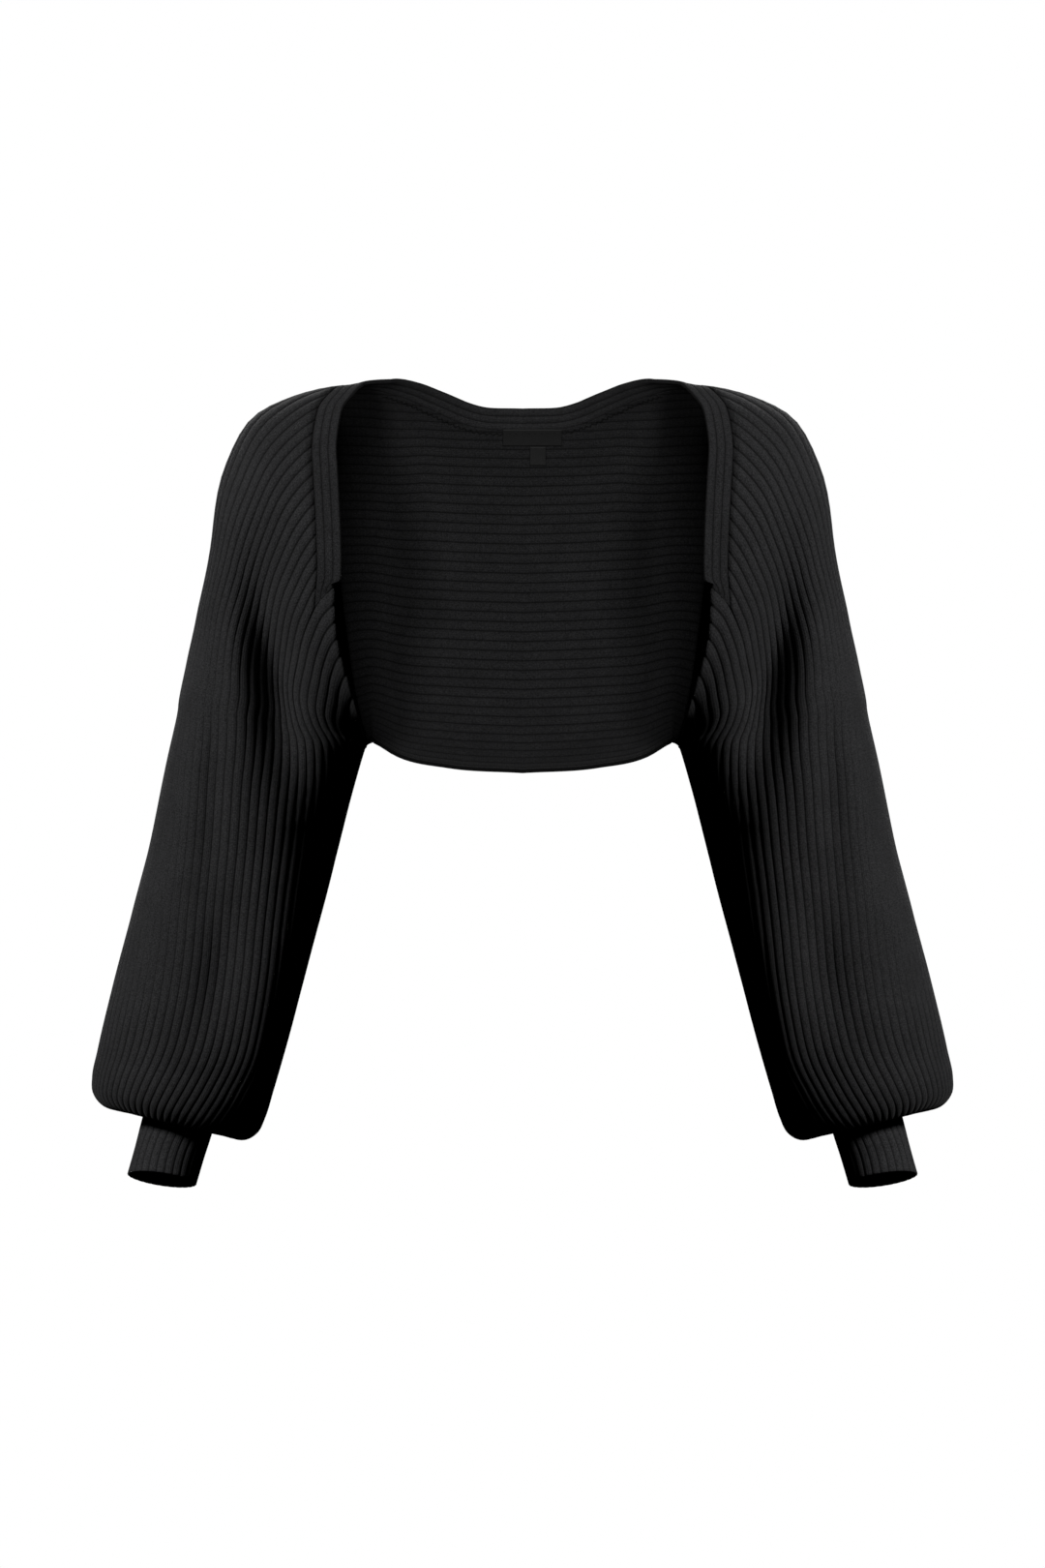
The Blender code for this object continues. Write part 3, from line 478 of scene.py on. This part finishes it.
def read_table(table, travel, rib):
    """Values of a table between its grid places."""
    i = np.clip(travel / TABLE_TRAVEL_STEP, 0.0, table.shape[0] - LAST_CELL)
    j = np.clip(rib / TABLE_RIB_STEP, 0.0, table.shape[1] - LAST_CELL)
    i0, j0 = i.astype(int), j.astype(int)
    u, v = (i - i0)[..., None], (j - j0)[..., None]
    first = table[i0, j0] * (1 - v) + table[i0, j0 + 1] * v
    second = table[i0 + 1, j0] * (1 - v) + table[i0 + 1, j0 + 1] * v
    return first * (1 - u) + second * u


def cloth(travel, rib):
    """Points in mm on the middle of the cloth, and outward normals."""
    travel, rib = np.broadcast_arrays(np.asarray(travel, float), np.asarray(rib, float))
    return read_table(POINTS, travel, rib), unit(read_table(NORMALS, travel, rib))


def locate(rows):
    """Travel and rib of places given as (face, out, up)."""
    found = []
    every_rib = np.linspace(0.0, RIBS_ROUND, LOCATE_SAMPLES)
    for face, out, up in rows:
        if out < PIVOT_OUT:
            travel, r = out, up - PIVOT_UP
        else:
            travel = PIVOT_OUT + math.atan2(out - PIVOT_OUT, up - PIVOT_UP) * FAN_RADIUS
            r = math.hypot(out - PIVOT_OUT, up - PIVOT_UP)
        away, _, length, col = section_outline(np.array([travel]))
        away, length = away[0], length[0]
        ridge, spread = col["ridge"][0, 0], col["spread"][0, 0]
        half = 2 * ARC_SAMPLES
        if face == "ridge":
            rib = ridge
        elif face == "back":
            rib = ridge * np.interp(r, away[:half], length[:half]) / length[half - 1]
        else:
            share = np.interp(-r, -away[half:], length[half:]) - length[half - 1]
            share /= length[-1] - length[half - 1]
            share = (-(1 - spread) + math.sqrt((1 - spread) ** 2 + 4 * spread * share)) / (2 * spread)
            rib = ridge + share * (RIBS_ROUND - ridge)
        found.append((travel, float(np.interp(rib, every_rib + rib_shift(travel, every_rib), every_rib))))
    return found


def seam_curve(places, count):
    """Even steps of travel and rib along a smooth curve through places on the cloth."""
    places = np.array(places)
    points, _ = cloth(places[:, 0], places[:, 1])
    walked = walked_length(points)
    even = np.linspace(0.0, walked[-1], count)
    return smooth(walked, places[:, 0], even), smooth(walked, places[:, 1], even)


BAND_TRAVEL, BAND_RIB = seam_curve(locate(BAND_SEAM), BAND_ROWS)
EDGE_PLACES = locate(FRONT_EDGE)
ARMHOLE_PLACES = locate(ARMHOLE_SEAM)
SHOULDER_PLACE = locate([row for row in BAND_SEAM if row[0] == "ridge"])[0]
SHOULDER_RIB = SHOULDER_PLACE[1]
BAND_END_RIB = BAND_RIB[-1]
UNDERARM_TRAVEL = PIVOT_OUT + math.radians(UNDERARM_ANGLE) * FAN_RADIUS


def through(places, rib):
    """Travel of a seam or edge at each rib, from its places in order of rib."""
    return smooth([rib_there for _, rib_there in places], [travel for travel, _ in places], rib)


def band_travel(rib):
    """Travel of the band's seam at each rib."""
    return np.interp(rib, BAND_RIB, BAND_TRAVEL)


def sleeve_travel(rib):
    """Where the sleeve piece starts: along the armhole, the band seam and the front edge."""
    armhole = through([(UNDERARM_TRAVEL, 0.0)] + ARMHOLE_PLACES + [SHOULDER_PLACE], rib)
    edge = through(EDGE_PLACES + [(UNDERARM_TRAVEL, float(RIBS_ROUND))], rib)
    return np.where(rib < SHOULDER_RIB, armhole, np.where(rib < BAND_END_RIB, band_travel(rib), edge))


def rib_profile(rib):
    """Height of the knit across its ribs: 0 in each groove, 1 on each flat crown."""
    return 1.0 - np.abs(2.0 * (rib % 1.0) - 1.0) ** RIB_FLATNESS


def relief_share(travel, rib):
    """How much of its relief the knit keeps at each place, less where it is stretched smooth."""
    kept = np.ones(np.broadcast(travel, rib).shape)
    for there, rib_there, reach, rib_reach, share in SMOOTH_PLACES:
        far = -(((travel - there) / reach) ** 2) - ((rib - rib_there) / rib_reach) ** 2
        kept = kept - share * np.exp(far)
    return np.clip(kept, LEAST_RELIEF, 1.0)


def rib_columns(first, last):
    """Rib numbers for columns of points, closer together at the grooves."""
    ribs = (np.arange(math.floor(first), math.ceil(last))[:, None] + np.array(RIB_SHARES)).ravel()
    ribs = ribs[(ribs > first + COLUMN_GAP) & (ribs < last - COLUMN_GAP)]
    return np.concatenate([[first], ribs, [last]])


def make_mesh(name, parts, knit_places):
    """A mesh from grids of points, with each point's knit place as a UV map and its relief as a value."""
    points = np.concatenate([p.reshape(-1, 3) for p in parts["points"]]) * MM
    mesh = bpy.data.meshes.new(name)
    mesh.from_pydata(points.tolist(), [], parts["faces"])
    places = np.concatenate([p.reshape(-1, 3) for p in knit_places])
    layer = mesh.uv_layers.new(name="knit")
    corners = np.empty(len(mesh.loops), dtype=np.int64)
    mesh.loops.foreach_get("vertex_index", corners)
    layer.data.foreach_set("uv", places[corners, :2].ravel())
    mesh.attributes.new("relief", "FLOAT", "POINT").data.foreach_set("value", places[:, 2].copy())
    mesh.polygons.foreach_set("use_smooth", [True] * len(mesh.polygons))
    mesh.update()
    return mesh


def grid_faces(rows, cols, base, closed, turned):
    """Quads over a grid of points that starts at number base."""
    i, j = np.meshgrid(np.arange(rows - 1), np.arange(cols if closed else cols - 1), indexing="ij")
    after = (j + 1) % cols
    quads = np.stack([i * cols + j, i * cols + after, (i + 1) * cols + after, (i + 1) * cols + j], axis=-1)
    quads = quads.reshape(-1, 4) + base
    return quads[:, ::-1] if turned else quads


def strip_faces(first, second, turned):
    """Quads between two equally long rows of point numbers."""
    quads = np.stack([first[:-1], first[1:], second[1:], second[:-1]], axis=-1)
    return quads[:, ::-1] if turned else quads


def shell(name, outer, inner, outer_places, inner_places, closed):
    """A wall between an outer and an inner grid with the same columns, its edges joined all round."""
    rows, cols = outer.shape[:2]
    inner_rows = inner.shape[0]
    base = rows * cols
    faces = [grid_faces(rows, cols, 0, closed, False), grid_faces(inner_rows, cols, base, closed, True)]
    ends = np.arange(cols + 1) % cols if closed else np.arange(cols)
    faces.append(strip_faces(ends, base + ends, True))
    faces.append(strip_faces((rows - 1) * cols + ends, base + (inner_rows - 1) * cols + ends, False))
    if not closed:
        down = np.arange(rows) * cols
        faces.append(strip_faces(down, base + down, False))
        faces.append(strip_faces(down + cols - 1, base + down + cols - 1, True))
    parts = {"points": [outer, inner], "faces": np.concatenate(faces).tolist()}
    return make_mesh(name, parts, [outer_places, inner_places])


def add_piece(name, mesh, finish, node, lit="middle"):
    """An object that rides on the root, stands for its node and takes one group's light."""
    mesh.materials.append(finish)
    piece = bpy.data.objects.new(name, mesh)
    bpy.context.scene.collection.objects.link(piece)
    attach(piece, "root")
    if node:
        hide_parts(node)
    group(lit).objects.link(piece)
    return piece


def walls(travel, rib, height, reverse=REVERSE_HEIGHT):
    """Outer and inner points of ribbed cloth, and their knit places."""
    middle, normal = cloth(travel, rib)
    profile = rib_profile(rib)
    kept = relief_share(travel, rib)
    raised = GROOVE_OUTSIDE + height * (1.0 - kept * (1.0 - profile))
    outer = middle + normal * raised[..., None]
    inner = middle - normal * (WALL_INSIDE + reverse * profile)[..., None]
    return outer, inner, np.stack([rib, travel / STITCH_LENGTH, kept], axis=-1)


def back_piece(finish):
    """The back as one wall from armhole to armhole, with its neckline and plain hem."""
    neck_rib = BAND_RIB[0]
    ribs = np.sort(np.append(rib_columns(0.0, SHOULDER_RIB - SHOULDER_GAP), neck_rib))
    start = np.where(ribs <= neck_rib, 0.0, band_travel(ribs))
    end = sleeve_travel(ribs)
    shares = np.linspace(0.0, 1.0, BACK_ROWS)[:, None]
    travel = start + (end - start) * shares
    ribs = np.broadcast_to(ribs, travel.shape)
    outer, inner, places = walls(travel, ribs, RIB_HEIGHT)
    on_centre = ribs[0] <= neck_rib
    outer[0, on_centre, 0] = 0.0
    inner[0, on_centre, 0] = 0.0
    mesh = shell("back_knit", outer, inner, places, places, False)
    drop_centre_faces(mesh)
    piece = add_piece("back_knit", mesh, finish, "back_panel")
    whole = piece.modifiers.new("both_sides", "MIRROR")
    whole.use_axis = (True, False, False)
    whole.merge_threshold = MERGE_DISTANCE
    return piece


def drop_centre_faces(mesh):
    """Take out the faces that lie in the mirror plane."""
    build = bmesh.new()
    build.from_mesh(mesh)
    flat = [face for face in build.faces if all(abs(v.co.x) < ON_CENTRE for v in face.verts)]
    bmesh.ops.delete(build, geom=flat, context="FACES")
    build.to_mesh(mesh)
    build.free()


def sleeve_rows(start):
    """Travel of the rows of points down a sleeve, from its own edge to the gathered end."""
    near = [start + (WHOLE_RING - start) * t for t in np.linspace(0.0, 1.0, NEAR_ROWS)[:-1]]
    middle = np.arange(WHOLE_RING, GATHERED_RING, ROW_STEP)
    gathered = np.linspace(GATHERED_RING, END_RING, GATHERED_ROWS)
    return np.array(near + [np.full_like(start, t) for t in np.concatenate([middle, gathered])])


def undulation(travel, rib):
    """Small uneven waves over the sleeve, none at its edges."""
    waves = 0.0
    for height, along, turn, offset in WAVES:
        waves = waves + height * np.sin(travel / along + rib * turn + offset)
    return waves * within(WAVY_STRETCH, travel)


def sleeve_piece(name, side, finish, node):
    """A sleeve with its shoulder and front."""
    ribs = rib_columns(0.0, float(RIBS_ROUND))[:-1]
    ribs = np.sort(np.concatenate([ribs, [BAND_END_RIB - BAND_END_STEP, BAND_END_RIB + BAND_END_STEP]]))
    start = sleeve_travel(ribs)
    on_edge = (ribs > BAND_END_RIB) & (ribs < RIBS_ROUND - 1.0)
    scallop = SCALLOP * rib_profile(ribs) * on_edge
    travel = sleeve_rows(start - scallop)
    ribs = np.broadcast_to(ribs, travel.shape)
    after, _ = cloth(travel, np.minimum(ribs + 0.5, RIBS_ROUND))
    before, _ = cloth(travel, np.maximum(ribs - 0.5, 0.0))
    pitch = np.linalg.norm(after - before, axis=-1)
    height = RIB_HEIGHT * np.clip((pitch - PLAIN_PITCH) / RELIEF_SPAN, LEAST_RIB_SHARE, 1.0)
    outer, inner, places = walls(travel, ribs, height, REVERSE_HEIGHT * height / RIB_HEIGHT)
    _, normal = cloth(travel, ribs)
    wave = normal * undulation(travel, ribs)[..., None]
    outer, inner = outer + wave, inner + wave
    if side < 0:
        outer, inner = flipped(outer), flipped(inner)
    keep = np.unique(np.concatenate([np.arange(0, len(travel), 2), [len(travel) - 1]]))
    mesh = shell(name, outer, inner[keep], places, places[keep], True)
    if side < 0:
        mesh.flip_normals()
    return add_piece(name, mesh, finish, node, "left" if side > 0 else "right")


def band_line():
    """Points and normals along the band's seam from the centre back to its end, and the way walked."""
    points, normals = cloth(BAND_TRAVEL, BAND_RIB)
    points[0, 0] = normals[0, 0] = 0.0
    return points, normals, walked_length(points)


def band_frame():
    """Along the whole band: its seam points, outward normals, reach across it, and way walked."""
    points, normals, walked = band_line()
    line = both_sides(points)
    normal = unit(both_sides(normals))
    across = np.cross(unit(np.gradient(line, axis=0)), normal)
    across *= np.sign(across[len(points) - 1, 2])
    left = walked[-1] - walked
    near_end = ease(1 - left / BAND_TAPER)
    near_end = np.concatenate([near_end[:0:-1], near_end])[:, None]
    first_edge = np.array([BAND_END_RIB + BAND_END_STEP])
    edge, _ = cloth(sleeve_travel(first_edge), first_edge)
    slant = edge[0] - points[-1]
    on_right = np.arange(len(line)) < len(points) - 1
    end_across = np.where(on_right[:, None], flipped(slant), slant)
    reach = across * BAND_WIDTH * (1 - near_end) + end_across * near_end
    length = np.concatenate([-walked[:0:-1], walked])
    return line, normal, reach, length


def band_piece(finish):
    """The neck band: one strip with three ribs, over both fronts and round the back neck."""
    line, normal, reach, length = band_frame()
    places = rib_columns(0.0, float(BAND_RIBS))
    share = BAND_SEAM_SHARE + (1.0 - BAND_SEAM_SHARE) * places / BAND_RIBS
    base = line[:, None, :] + reach[:, None, :] * share[None, :, None]
    profile = rib_profile(places)
    outer = base + normal[:, None, :] * (GROOVE_OUTSIDE + BAND_RIB_HEIGHT * profile)[None, :, None]
    inner = base - normal[:, None, :] * (WALL_INSIDE + REVERSE_HEIGHT * profile)[None, :, None]
    knit = np.stack(np.broadcast_arrays(places[None, :], length[:, None] / STITCH_LENGTH, 1.0), axis=-1)
    mesh = shell("neck_band_knit", outer, inner, knit, knit, False)
    piece = add_piece("neck_band_knit", mesh, finish, "neck_band")
    group("band").objects.link(piece)
    return piece


def linking_stitches(finish):
    """The zigzag of linking yarn along the inside of the back-neck seam, painted dark for the shadows
    between its stitches.
    """
    points, normals, walked = band_line()
    along = np.arange(0.0, LINKING_REACH, LINKING_STEP)
    line = np.stack([np.interp(along, walked, points[:, k]) for k in range(3)], axis=1)
    normal = np.stack([np.interp(along, walked, normals[:, k]) for k in range(3)], axis=1)
    down = np.cross(unit(np.gradient(line, axis=0)), normal)
    down *= -np.sign(down[:, 2:3])
    swing = np.resize(LINKING_SWINGS, len(along))[:, None]
    place = both_sides(line + down * swing - normal * (WALL_INSIDE + REVERSE_HEIGHT + LINKING_LIFT))
    normal = both_sides(normal)
    side = unit(np.cross(unit(np.gradient(place, axis=0)), normal))
    turns = (np.arange(LINKING_SIDES) / LINKING_SIDES * 2 * math.pi)[None, :, None]
    ring = np.cos(turns) * side[:, None, :] + np.sin(turns) * normal[:, None, :]
    tube = place[:, None, :] + LINKING_RADIUS * ring
    faces = grid_faces(len(tube), LINKING_SIDES, 0, True, False).tolist()
    first_end = np.arange(LINKING_SIDES)
    last_end = first_end + (len(tube) - 1) * LINKING_SIDES
    faces += [first_end[::-1].tolist(), last_end.tolist()]
    # Rib 0 sets the whole yarn in a groove, so it takes the full painted groove shade: painted shadow
    # between the stitches
    knit = np.zeros(tube.shape) + np.array([0.0, 0.0, 1.0])
    mesh = make_mesh("linking_stitches", {"points": [tube], "faces": faces}, [knit])
    return add_piece("linking_stitches", mesh, finish, None)


def cuff_piece(name, side, finish, node):
    """A ribbed tube that starts inside the fold of the sleeve's end."""
    shares = np.arange(CUFF_RIBS * CUFF_RIB_POINTS) / CUFF_RIB_POINTS
    table = np.array(CUFF_SECTIONS)
    down = np.linspace(table[0, 0], table[-1, 0], CUFF_ROWS)
    away, depth, radius, lean = (smooth(table[:, 0], table[:, k], down)[:, None] for k in range(1, 5))
    sway, sway_start, sway_length = CUFF_SWAY
    slant = sway * np.sin((down - sway_start) / sway_length)[:, None]
    turns = (shares[None, :] + slant) / CUFF_RIBS * 2 * math.pi
    profile = rib_profile(shares)[None, :]
    tilt = math.radians(SLEEVE_TILT)
    fan = math.radians(FAN_ANGLE)
    grids = []
    for offset in (GROOVE_OUTSIDE + CUFF_RIB_HEIGHT * profile, -WALL_INSIDE - REVERSE_HEIGHT * profile):
        r = radius + offset
        sideways, forward = r * np.cos(turns), r * np.sin(turns)
        along = down[:, None] + forward * np.tan(np.radians(lean))
        along = along + sideways * math.tan(math.radians(CUFF_SIDEWAYS))
        out = PIVOT_OUT + along * math.sin(tilt) + (away + sideways) * math.sin(fan)
        up = PIVOT_UP - along * math.cos(tilt) + (away + sideways) * math.cos(fan)
        grids.append(np.stack([side * out, depth + forward, up], axis=-1))
    knit = np.stack(np.broadcast_arrays(shares[None, :], down[:, None] / STITCH_LENGTH, 1.0), axis=-1)
    mesh = shell(name, grids[0], grids[1], knit, knit, True)
    if side > 0:
        mesh.flip_normals()
    return add_piece(name, mesh, finish, node, "left" if side > 0 else "right")


def plate_piece(name, size, finish, node):
    """A thin woven plate that follows the inside of the back."""
    width, height, thickness, middle, top = size
    cols, rows = round(width) + 1, round(height) + 1
    layers = []
    for depth in (TRIM_CLEARANCE + thickness, TRIM_CLEARANCE):
        grid = []
        for i in range(rows):
            up = top - height * i / (rows - 1)
            line = []
            for j in range(cols):
                x = middle - width / 2 + width * j / (cols - 1)
                travel, rib = locate([("back", abs(x), up)])[0]
                point, normal = cloth(np.array([travel]), np.array([rib]))
                place = point[0] - normal[0] * (WALL_INSIDE + depth)
                line.append([math.copysign(place[0], x) if x else 0.0, place[1], place[2]])
            grid.append(line)
        layers.append(np.array(grid))
    u, v = np.meshgrid(np.linspace(0, width, cols), np.linspace(0, height, rows))
    weave = np.stack([u, v, np.ones_like(u)], axis=-1)
    mesh = shell(name, layers[0], layers[1], weave, weave, False)
    return add_piece(name, mesh, finish, node)


class Nodes:
    """Short calls for building one material's nodes."""

    def __init__(self, name):
        self.material = bpy.data.materials.new(name)
        self.material.use_nodes = True
        self.tree = self.material.node_tree
        self.shader = self.tree.nodes["Principled BSDF"]

    def put(self, socket, value):
        """Link a socket to another, or give it a number or colour."""
        if isinstance(value, bpy.types.NodeSocket):
            self.tree.links.new(value, socket)
        else:
            socket.default_value = value

    def math(self, operation, first, second=0.0):
        """The result of a sum on one or two values."""
        node = self.tree.nodes.new("ShaderNodeMath")
        node.operation = operation
        self.put(node.inputs[0], first)
        self.put(node.inputs[1], second)
        return node.outputs[0]

    def times(self, first, second):
        """The product of two values."""
        return self.math("MULTIPLY", first, second)

    def ramp(self, value, low, high, from_low=0.0, from_high=1.0):
        """A value moved from one range to another."""
        node = self.tree.nodes.new("ShaderNodeMapRange")
        for socket, number in zip(node.inputs, (value, from_low, from_high, low, high)):
            self.put(socket, number)
        return node.outputs[0]

    def knit_place(self):
        """The rib number and the stitch number at each point."""
        node = self.tree.nodes.new("ShaderNodeUVMap")
        node.uv_map = "knit"
        parts = self.tree.nodes.new("ShaderNodeSeparateXYZ")
        self.tree.links.new(node.outputs[0], parts.inputs[0])
        return parts.outputs[0], parts.outputs[1]

    def relief(self):
        """How much of its relief the knit keeps at each point, which scales the painted shade in its
        grooves.
        """
        node = self.tree.nodes.new("ShaderNodeAttribute")
        node.attribute_name = "relief"
        return node.outputs["Fac"]

    def noise(self, scale, detail):
        """Uneven values over the object."""
        place = self.tree.nodes.new("ShaderNodeTexCoord")
        node = self.tree.nodes.new("ShaderNodeTexNoise")
        node.inputs["Scale"].default_value = scale
        node.inputs["Detail"].default_value = detail
        self.tree.links.new(place.outputs["Object"], node.inputs["Vector"])
        return node.outputs["Fac"]

    def grey(self, value, tint=(1.0, 1.0, 1.0)):
        """A colour of that value, and with that tint."""
        node = self.tree.nodes.new("ShaderNodeCombineColor")
        for socket, share in zip(node.inputs, tint):
            self.put(socket, self.times(value, share))
        return node.outputs[0]

    def bump(self, height, distance, strength):
        """Raise the shader's surface by a height."""
        node = self.tree.nodes.new("ShaderNodeBump")
        node.inputs["Strength"].default_value = strength
        node.inputs["Distance"].default_value = distance
        self.put(node.inputs["Height"], height)
        self.put(self.shader.inputs["Normal"], node.outputs[0])


def knit_material(name, base, groove_painted_shade):
    """Matt yarn in rib knit: rows of slanted stitches, painted shade in the grooves and the stitches'
    hollows, and uneven fuzz.
    """
    n = Nodes(name)
    rib, stitch = n.knit_place()
    across = n.math("FRACT", n.times(rib, STITCHES_IN_RIB))
    from_middle = n.math("ABSOLUTE", n.math("SUBTRACT", across, 0.5))
    slanted = n.math("ADD", stitch, n.times(from_middle, STITCH_SLANT))
    wave = n.math("SINE", n.times(slanted, 2 * math.pi))
    rows = n.math("ADD", n.times(wave, 0.5), 0.5)
    round_wale = n.math("SUBTRACT", 1.0, n.math("POWER", n.times(from_middle, 2.0), 2.0))
    row_share, wale_share, fuzz_share = YARN_SHARES
    yarn = n.math("ADD", n.times(rows, row_share), n.times(round_wale, wale_share))
    yarn = n.math("ADD", yarn, n.times(n.noise(FUZZ_SCALE, 3.0), fuzz_share))
    n.bump(yarn, YARN_DEPTH, YARN_STRENGTH)
    # Painted shade: the grooves between ribs are darkened in the colour, less where the knit keeps less
    # relief
    from_crown = n.math("ABSOLUTE", n.math("SUBTRACT", n.math("FRACT", rib), 0.5))
    groove = n.math("POWER", n.times(from_crown, 2.0), PAINTED_GROOVE_SHARPNESS)
    groove = n.times(groove, n.relief())
    painted_groove_shade = n.math("SUBTRACT", 1.0, n.times(groove, groove_painted_shade))
    patch = n.ramp(n.noise(PATCH_SCALE, 3.0), *PATCH_SHADES, *NOISE_RANGE)
    speck = n.ramp(n.noise(SPECK_SCALE, 2.0), *SPECK_SHADES, *NOISE_RANGE)
    # Painted shade in the stitches' hollows and painted light on their crowns, plus uneven fuzz tone
    stitch_shade_and_fuzz = n.ramp(yarn, *STITCH_SHADE_AND_FUZZ_TONES, *STITCH_RANGE)
    value = n.times(n.times(n.times(painted_groove_shade, patch), n.times(speck, stitch_shade_and_fuzz)), base)
    n.put(n.shader.inputs["Base Color"], n.grey(value, (1.0, 1.0, 1.05)))
    n.shader.inputs["Roughness"].default_value = 0.92
    n.shader.inputs["Specular IOR Level"].default_value = 0.25
    n.shader.inputs["Sheen Weight"].default_value = 0.04
    n.shader.inputs["Sheen Roughness"].default_value = 0.5
    return n.material


def label_material(name, base):
    """Smooth narrow-woven tape with fine threads both ways."""
    n = Nodes(name)
    across, down = n.knit_place()
    warp = n.math("SINE", n.times(across, 2 * math.pi / THREAD_SPACING))
    weft = n.math("SINE", n.times(down, 2 * math.pi / THREAD_SPACING))
    threads = n.times(warp, weft)
    n.bump(threads, THREAD_DEPTH, THREAD_STRENGTH)
    woven = n.ramp(threads, *THREAD_SHADES, -1.0, 1.0)
    uneven = n.ramp(n.noise(TAPE_SCALE, 2.0), *TAPE_SHADES)
    n.put(n.shader.inputs["Base Color"], n.grey(n.times(n.times(woven, uneven), base)))
    n.shader.inputs["Roughness"].default_value = 0.6
    return n.material


def floor_material():
    """Pale, faintly uneven plaster."""
    n = Nodes("pale_floor")
    value = n.ramp(n.noise(FLOOR_SCALE, 2.0), *FLOOR_SHADES)
    n.put(n.shader.inputs["Base Color"], n.grey(value))
    n.shader.inputs["Roughness"].default_value = 0.8
    return n.material


def floor():
    """A pale floor as far below the garment as it is when worn."""
    mesh = bpy.data.meshes.new("floor")
    turns = [2 * math.pi * k / FLOOR_CORNERS for k in range(FLOOR_CORNERS)]
    rim = [(FLOOR_RADIUS * math.cos(turn), FLOOR_RADIUS * math.sin(turn), FLOOR_UP) for turn in turns]
    mesh.from_pydata(rim, [], [list(range(FLOOR_CORNERS))])
    mesh.materials.append(floor_material())
    made = bpy.data.objects.new("floor", mesh)
    bpy.context.scene.collection.objects.link(made)
    made.visible_diffuse = False
    made.visible_glossy = False
    group("ground").objects.link(made)


def softbox(name, place, aim, size, power, lit):
    """A soft area light that falls on the named group of pieces."""
    light = bpy.data.lights.new(name, "AREA")
    light.shape = "RECTANGLE"
    light.size, light.size_y = size
    light.energy = power
    made = bpy.data.objects.new(name, light)
    made.location = place
    toward = [a - p for a, p in zip(aim, place)]
    flat = math.hypot(toward[0], toward[1])
    made.rotation_euler = (math.atan2(flat, -toward[2]), 0.0, math.atan2(-toward[0], toward[1]))
    bpy.context.scene.collection.objects.link(made)
    made.light_linking.receiver_collection = group(lit)


def group(name):
    """The collection of that name, made when first asked for."""
    return bpy.data.collections.get(name) or bpy.data.collections.new(name)


def flag(name, corners):
    """A black board that shades part of the garment and that the camera doesn't see."""
    mesh = bpy.data.meshes.new(name)
    mesh.from_pydata(corners, [], [(0, 1, 2, 3)])
    n = Nodes("black_board")
    n.shader.inputs["Base Color"].default_value = (0.0, 0.0, 0.0, 1.0)
    n.shader.inputs["Specular IOR Level"].default_value = 0.0
    mesh.materials.append(n.material)
    made = bpy.data.objects.new(name, mesh)
    made.visible_camera = False
    made.visible_diffuse = False
    made.visible_glossy = False
    bpy.context.scene.collection.objects.link(made)


def studio():
    """A white surround that only the camera sees, and soft light from both sides and the front."""
    world = bpy.data.worlds.new("white_surround")
    world.use_nodes = True
    world.node_tree.nodes["Background"].inputs["Color"].default_value = (1.0, 1.0, 1.0, 1.0)
    world.cycles_visibility.diffuse = False
    world.cycles_visibility.glossy = False
    bpy.context.scene.world = world
    for hand, side in (("left", 1), ("right", -1)):
        for name, (out, y, z), (aim_out, aim_y, aim_z), size, power, lit in SIDE_LIGHTS:
            place = (side * out, y, z)
            aim = (side * aim_out, aim_y, aim_z)
            softbox(f"{hand}_{name}", place, aim, size, power, hand if lit == "own" else lit)
    for name, place, aim, size, power, lit in MIDDLE_LIGHTS:
        softbox(name, place, aim, size, power, lit)
    flag("centre_flag", [(0.0, y, z) for y, z in CENTRE_FLAG])


def camera():
    """A level camera straight in front, whose picture is as high as the photo at the origin."""
    data = bpy.data.cameras.new("camera")
    data.sensor_width = SENSOR_SIZE
    data.lens = SENSOR_SIZE * CAMERA_DISTANCE / PHOTO_HEIGHT
    made = bpy.data.objects.new("camera", data)
    made.location = (0.0, -CAMERA_DISTANCE, CAMERA_UP)
    made.rotation_euler = (math.pi / 2, 0.0, 0.0)
    bpy.context.scene.collection.objects.link(made)
    bpy.context.scene.camera = made
    bpy.context.scene.view_settings.view_transform = "Standard"


def dress():
    """Every piece of the shrug over its node."""
    knit = knit_material("rib_knit", *RIB_KNIT)
    trim = knit_material("ribbed_trim", *RIBBED_TRIM)
    woven = label_material("woven_label", LABEL_GREY)
    back = back_piece(knit)
    left = sleeve_piece("left_sleeve_knit", 1, knit, "left_sleeve")
    right = sleeve_piece("right_sleeve_knit", -1, knit, "right_sleeve")
    band = band_piece(trim)
    linking_stitches(trim)
    left_cuff = cuff_piece("left_cuff_knit", 1, trim, "left_cuff")
    right_cuff = cuff_piece("right_cuff_knit", -1, trim, "right_cuff")
    label = plate_piece("label_tape", LABEL, woven, "neck_label")
    tab = plate_piece("tab_tape", TAB, woven, "size_tab")


camera()
studio()
floor()
dress()
